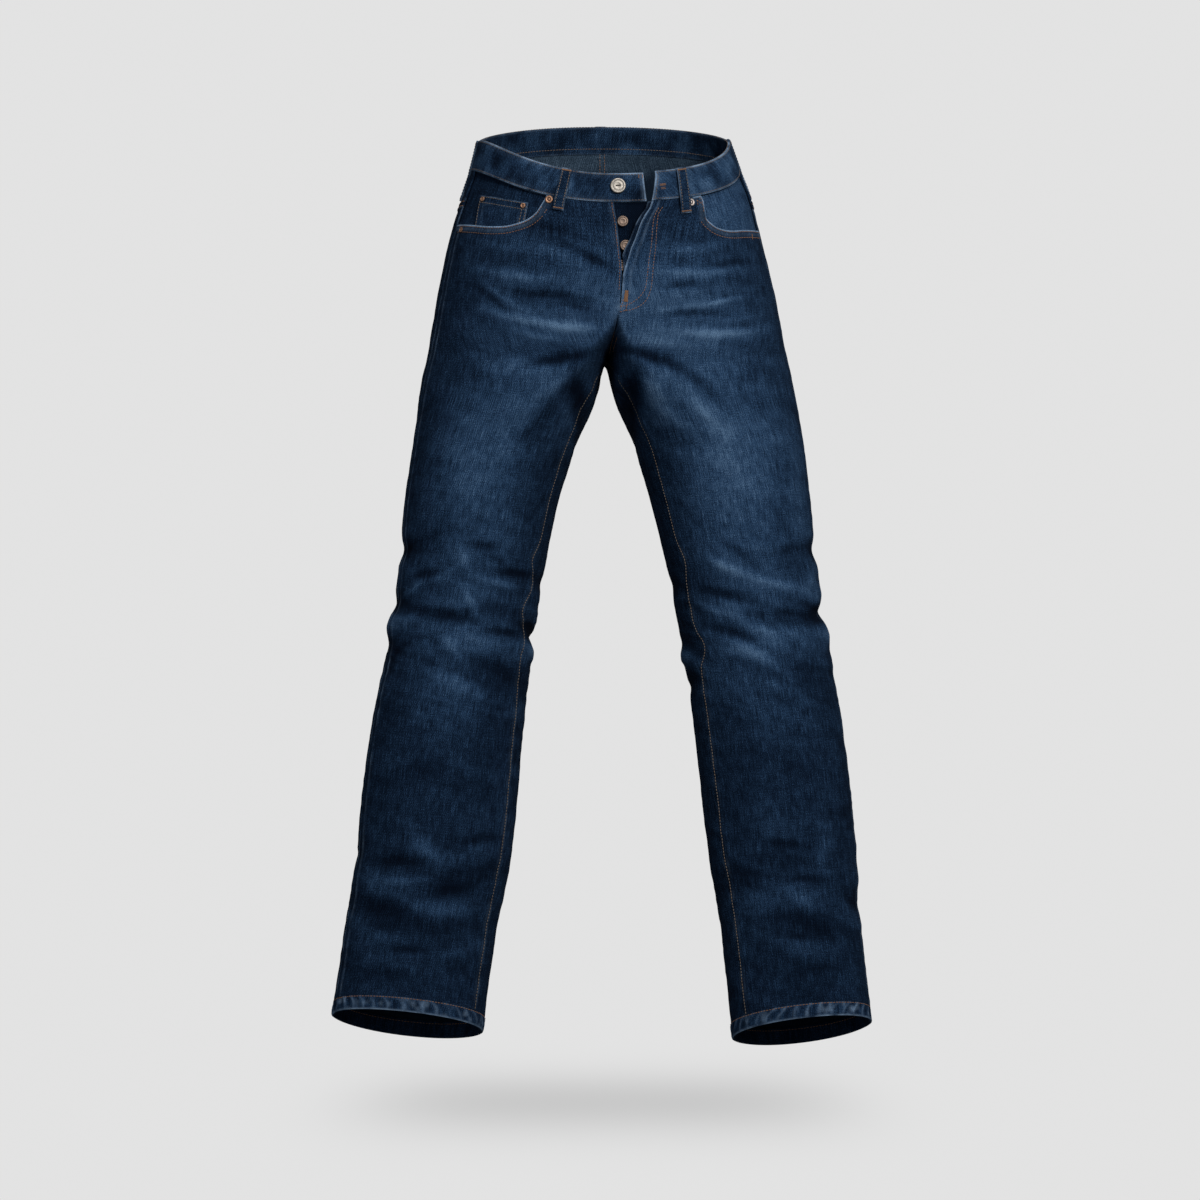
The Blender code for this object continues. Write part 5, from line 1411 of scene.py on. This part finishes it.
def row_at(face, share):
    """The line across a strip's face at a share of its height."""
    place = np.clip((share - STRIP_BEND) / (1 - 2 * STRIP_BEND), 0, 1) * (len(face) - 1)
    low = min(int(place), len(face) - 2)
    return face[low] + (face[low + 1] - face[low]) * (place - low)


def tack(middle, along, across, count):
    """Close threads laid side by side along a bar, each across it; both directions have the bar's full size."""
    return [np.array([middle + along * t - across / 2, middle + along * t + across / 2])
            for t in np.linspace(-0.5, 0.5, count)]


# Bars of close threads: a name, the piece under it, X and Z, how long and wide, and the slope in degrees
TACKS = (
    ("fly", "fronts", 24, -172.5, 12, 5.5, 84),
    ("pocket_left", "front_left", 165, -101, 6, 2.4, 80),
    ("buttonhole_high", "waistband", 64.5, -49.5, 1.8, 10, 102),
    ("buttonhole_low", "waistband", 65, -53.4, 1.4, 8, 98),
    ("tab_near", "waistband", 38, -40, 4, 1.2, 88),
    ("tab_far", "waistband", 42, -40, 4, 1.2, 88),
)


def sew(pieces, threads):
    """All the rows of stitches and the bars, by the pieces that they lie on."""
    warm, pale, dull = threads
    trees = {name: face_tree(piece) for name, piece in pieces.items() if "facing_" not in name}
    trees["fronts"] = face_tree(pieces["front_right"], pieces["front_left"])
    double = (1.9 * MM, 7.2 * MM)
    for side in (RIGHT, LEFT):
        word = SIDE_NAMES[side]
        name = f"front_{word}"
        front, heights = SEWN[name], SEWN[f"heights_{name}"]
        leg = heights < CROTCH - 6 * MM
        stitches(f"stitches_leg_{word}", beside(front, "last", [1.9 * MM], rows=leg), trees[name], pale)
        lines = beside(SEWN[f"pocket_{word}"], "top", (2.0 * MM, 8.6 * MM), (3 * MM, 1 * MM))
        if side == LEFT:
            seam = (heights > CROTCH + 2 * MM) & (heights < FLY_END - 2 * MM)
            lines += beside(front, "last", double, rows=seam)
            lines += [front_line(LEFT, curve, flap=True) for curve in FLY_CURVES]
        else:
            lines += beside(front, "last", [2.2 * MM], rows=heights > FLY_END + 8 * MM)
        stitches(f"stitches_{name}", lines, trees[name], warm)
        name = f"yoke_{word}"
        lines = beside(SEWN[name], "foot", double)
        if side == LEFT:
            lines += beside(SEWN[name], "last", double)
        stitches(f"stitches_{name}", lines, trees[name], warm)
        if side == LEFT:
            stitches("stitches_yoke_inside", beside(SEWN["inside_yoke_left"], "last", double), trees[name], warm)
            above = SEWN["heights_back_left"] > CROTCH + 2 * MM
            stitches("stitches_seat", beside(SEWN["back_left"], "last", double, rows=above), trees["back_left"], warm)
        name = f"back_pocket_{word}"
        pocket, pair = SEWN[name], (1.8 * MM, 8.0 * MM)
        lines = []
        for edge, end_trim in (("last", 3 * MM), ("first", 3 * MM), ("foot", None)):
            for inset in pair:
                lines += beside(pocket, edge, [inset], (inset, end_trim or inset))
        lines += beside(pocket, "top", (1.6 * MM, 10.0 * MM), (2 * MM, 2 * MM))
        stitches(f"stitches_{name}", lines, trees[name], warm)
        stitches(f"stitches_hem_{word}", SEWN[f"hem_{word}"], trees[f"hem_{word}"], warm)
    lines = [row_at(SEWN[face], share) for face in ("band", "band_inside") for share in (0.055, 0.945)]
    stitches("stitches_band", lines + [SEWN["band"][:, 2]], trees["waistband"], dull)
    coin = SEWN["coin_pocket"]
    lines = beside(coin, "top", (1.6 * MM, 8.0 * MM), (1.5 * MM, 1.5 * MM))
    lines += beside(coin, "first", [1.6 * MM], (0, 2 * MM)) + beside(coin, "last", (1.6 * MM, 6.0 * MM), (0, 2 * MM))
    stitches("stitches_coin_pocket", lines, trees["coin_pocket"], pale, radius=0.27 * MM)
    for name in [name for name in pieces if name.startswith("belt_loop")]:
        loop = SEWN[name]
        stitches(f"stitches_{name}", [loop[2], loop[8]], trees[name], pale)
        bars = []
        for column in (2, -3):
            width = loop[9, column] - loop[1, column]
            rise = loop[5, column + 1] - loop[5, column - 1]
            bars += tack(loop[5, column], width, rise * 0.9, 17)
        stitches(f"tacks_{name}", bars, trees[name], warm, radius=0.26 * MM)
    for name, piece, x, z, long, wide, slope in TACKS:
        turn = math.radians(slope)
        spot = before_face(LEFT, x, z, folded_point if name.startswith("tab") else flap_point)
        along = MM * long * np.array([math.cos(turn), 0, math.sin(turn)])
        across = MM * wide * np.array([-math.sin(turn), 0, math.cos(turn)])
        lines = tack(spot, along, across, int(long / 0.5))
        stitches(f"tack_{name}", lines, trees[piece], warm, long=9 * MM, radius=0.27 * MM)


# ---- the photo's view ------------------------------------------------------------------------------------

CAMERA, LENS = (-0.0045, -4.5, -0.5056), 120.15
KEY, FILL, TOP, AMBIENT = 135, 18, 42, 0.14  # the lamps' power in watts, and the strength of the light all round
PALE, FLOOR = 0.766, -1.07  # the ground's tone, and the height of the floor below the waist
SHADE, SHADE_FALL = 0.24, (3.75, 3.65, 0)  # how dark the shadow painted on the floor is, and how soon it ends along X and Y


def photo_view():
    camera = bpy.data.objects.new("camera", bpy.data.cameras.new("camera"))
    bpy.context.scene.collection.objects.link(camera)
    camera.location = CAMERA
    camera.rotation_euler = (math.pi / 2, 0, 0)
    camera.data.sensor_width, camera.data.lens = 36, LENS
    bpy.context.scene.camera = camera


def area_light(name, place, aim, size, energy, colour=(1, 1, 1)):
    data = bpy.data.lights.new(name, "AREA")
    data.shape, data.energy, data.color = "RECTANGLE", energy, colour
    data.size, data.size_y = size
    light = bpy.data.objects.new(name, data)
    bpy.context.scene.collection.objects.link(light)
    light.location = place
    light.rotation_euler = (Vector(aim) - Vector(place)).to_track_quat("-Z", "Y").to_euler()


def studio():
    """Soft light from the front right and above, a pale ground, and a faint shadow painted on the floor."""
    area_light("key", (1.7, -3.4, 1.5), (0, 0, -0.45), (1.3, 1.3), KEY)
    area_light("fill", (-2.4, -3.0, 0.0), (0, 0, -0.5), (1.6, 2.2), FILL, (0.85, 0.92, 1.0))
    area_light("top", (0.2, -1.5, 2.3), (0, 0, -0.4), (1.4, 1.4), TOP)
    world = bpy.data.worlds.new("world")
    world.use_nodes = True
    tree = world.node_tree
    seen, lit = tree.nodes["Background"], tree.nodes.new("ShaderNodeBackground")
    seen.inputs["Color"].default_value = (PALE, PALE, PALE, 1)
    lit.inputs["Color"].default_value = (0.9, 0.95, 1.0, 1)
    lit.inputs["Strength"].default_value = AMBIENT
    mixed, path = tree.nodes.new("ShaderNodeMixShader"), tree.nodes.new("ShaderNodeLightPath")
    tree.links.new(path.outputs["Is Camera Ray"], mixed.inputs[0])
    tree.links.new(lit.outputs[0], mixed.inputs[1])
    tree.links.new(seen.outputs[0], mixed.inputs[2])
    tree.links.new(mixed.outputs[0], tree.nodes["World Output"].inputs["Surface"])
    bpy.context.scene.world = world
    bpy.ops.mesh.primitive_circle_add(vertices=96, radius=0.9, fill_type="NGON", location=(0, 0, FLOOR))
    floor = bpy.context.object
    floor.name = "floor"
    ground = Finish("floor")
    # Painted shadow: the floor, seen only by the camera, darkens the pale ground behind it in a soft patch under the
    # jeans.
    place = ground.add("ShaderNodeTexCoord").outputs["Object"]
    far = ground.add("ShaderNodeSeparateXYZ", {0: ground.stretched(place, SHADE_FALL)})
    aside = ground.math("POWER", ground.math("ABSOLUTE", far.outputs["X"]), 4.5)
    behind = ground.math("POWER", ground.math("ABSOLUTE", far.outputs["Y"]), 2.0)
    shade = ground.math("EXPONENT", ground.math("MULTIPLY", ground.math("ADD", aside, behind), -1.0))
    tint = ground.mix(ground.math("MULTIPLY", shade, SHADE), (1, 1, 1, 1), (0, 0, 0, 1))
    clear = ground.add("ShaderNodeBsdfTransparent", {"Color": tint})
    ground.tree.links.new(clear.outputs[0], ground.tree.nodes["Material Output"].inputs["Surface"])
    floor.data.materials.append(ground.material)
    floor.visible_shadow = floor.visible_diffuse = floor.visible_glossy = False


def main():
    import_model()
    photo_view()
    denim = denim_finish("denim", (0.0009, 0.0027, 0.0075), (0.0042, 0.0115, 0.0270), (0.019, 0.046, 0.096),
                         (0.090, 0.155, 0.245), (0.16, 0.24, 0.35))
    trim = denim_finish("denim_trim", (0.0010, 0.0030, 0.0080), (0.0045, 0.0120, 0.0280), (0.020, 0.048, 0.098),
                        (0.095, 0.160, 0.250), (0.18, 0.26, 0.37), shift=0.02)
    reverse = denim_finish("denim_inside", (0.005, 0.010, 0.019), (0.014, 0.026, 0.042), (0.044, 0.071, 0.105),
                           (0.12, 0.165, 0.21), (0.20, 0.24, 0.28), shift=0.12)
    warm = thread_finish("thread_warm", (0.22, 0.098, 0.040), (0.15, 0.10, 0.07))
    pale = thread_finish("thread_pale", (0.16, 0.115, 0.080), (0.15, 0.135, 0.115))
    dull = thread_finish("thread_dull", (0.13, 0.085, 0.055), (0.10, 0.10, 0.10))
    steel = metal_finish("button_steel", (0.38, 0.345, 0.30), (0.04, 0.033, 0.028), BUTTON_RINGS, slotted=True)
    copper = metal_finish("button_copper", (0.21, 0.150, 0.115), (0.04, 0.028, 0.022), BUTTON_RINGS)
    rivet = metal_finish("rivet_copper", (0.42, 0.225, 0.135), (0.05, 0.03, 0.022), RIVET_RINGS)
    # a paler, silvery finish for the rivet on the open flap
    rubbed = metal_finish("rivet_pale", (0.60, 0.52, 0.47), (0.05, 0.035, 0.03), RIVET_RINGS)
    pieces = {}
    for side in (RIGHT, LEFT):
        for kind, make in (("front", front_panel), ("back", back_panel), ("yoke", yoke),
                           ("pocket_facing", pocket_facing), ("back_pocket", back_pocket)):
            pieces[f"{kind}_{SIDE_NAMES[side]}"] = make(side, [denim, reverse])
        pieces[f"hem_{SIDE_NAMES[side]}"] = hem(side, [trim])
    pieces["waistband"] = waistband([trim])
    pieces["coin_pocket"] = coin_pocket([denim, reverse])
    pieces["fly_shield"] = fly_shield([trim, trim])
    pieces["fly_facing"] = fly_facing([trim, trim])
    pieces.update(belt_loops([trim]))
    for node, piece in pieces.items():
        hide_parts(node)
    sew(pieces, (warm, pale, dull))
    fittings(steel, copper, rivet, rubbed)
    studio()
    bpy.context.scene.view_settings.view_transform = "Standard"


main()
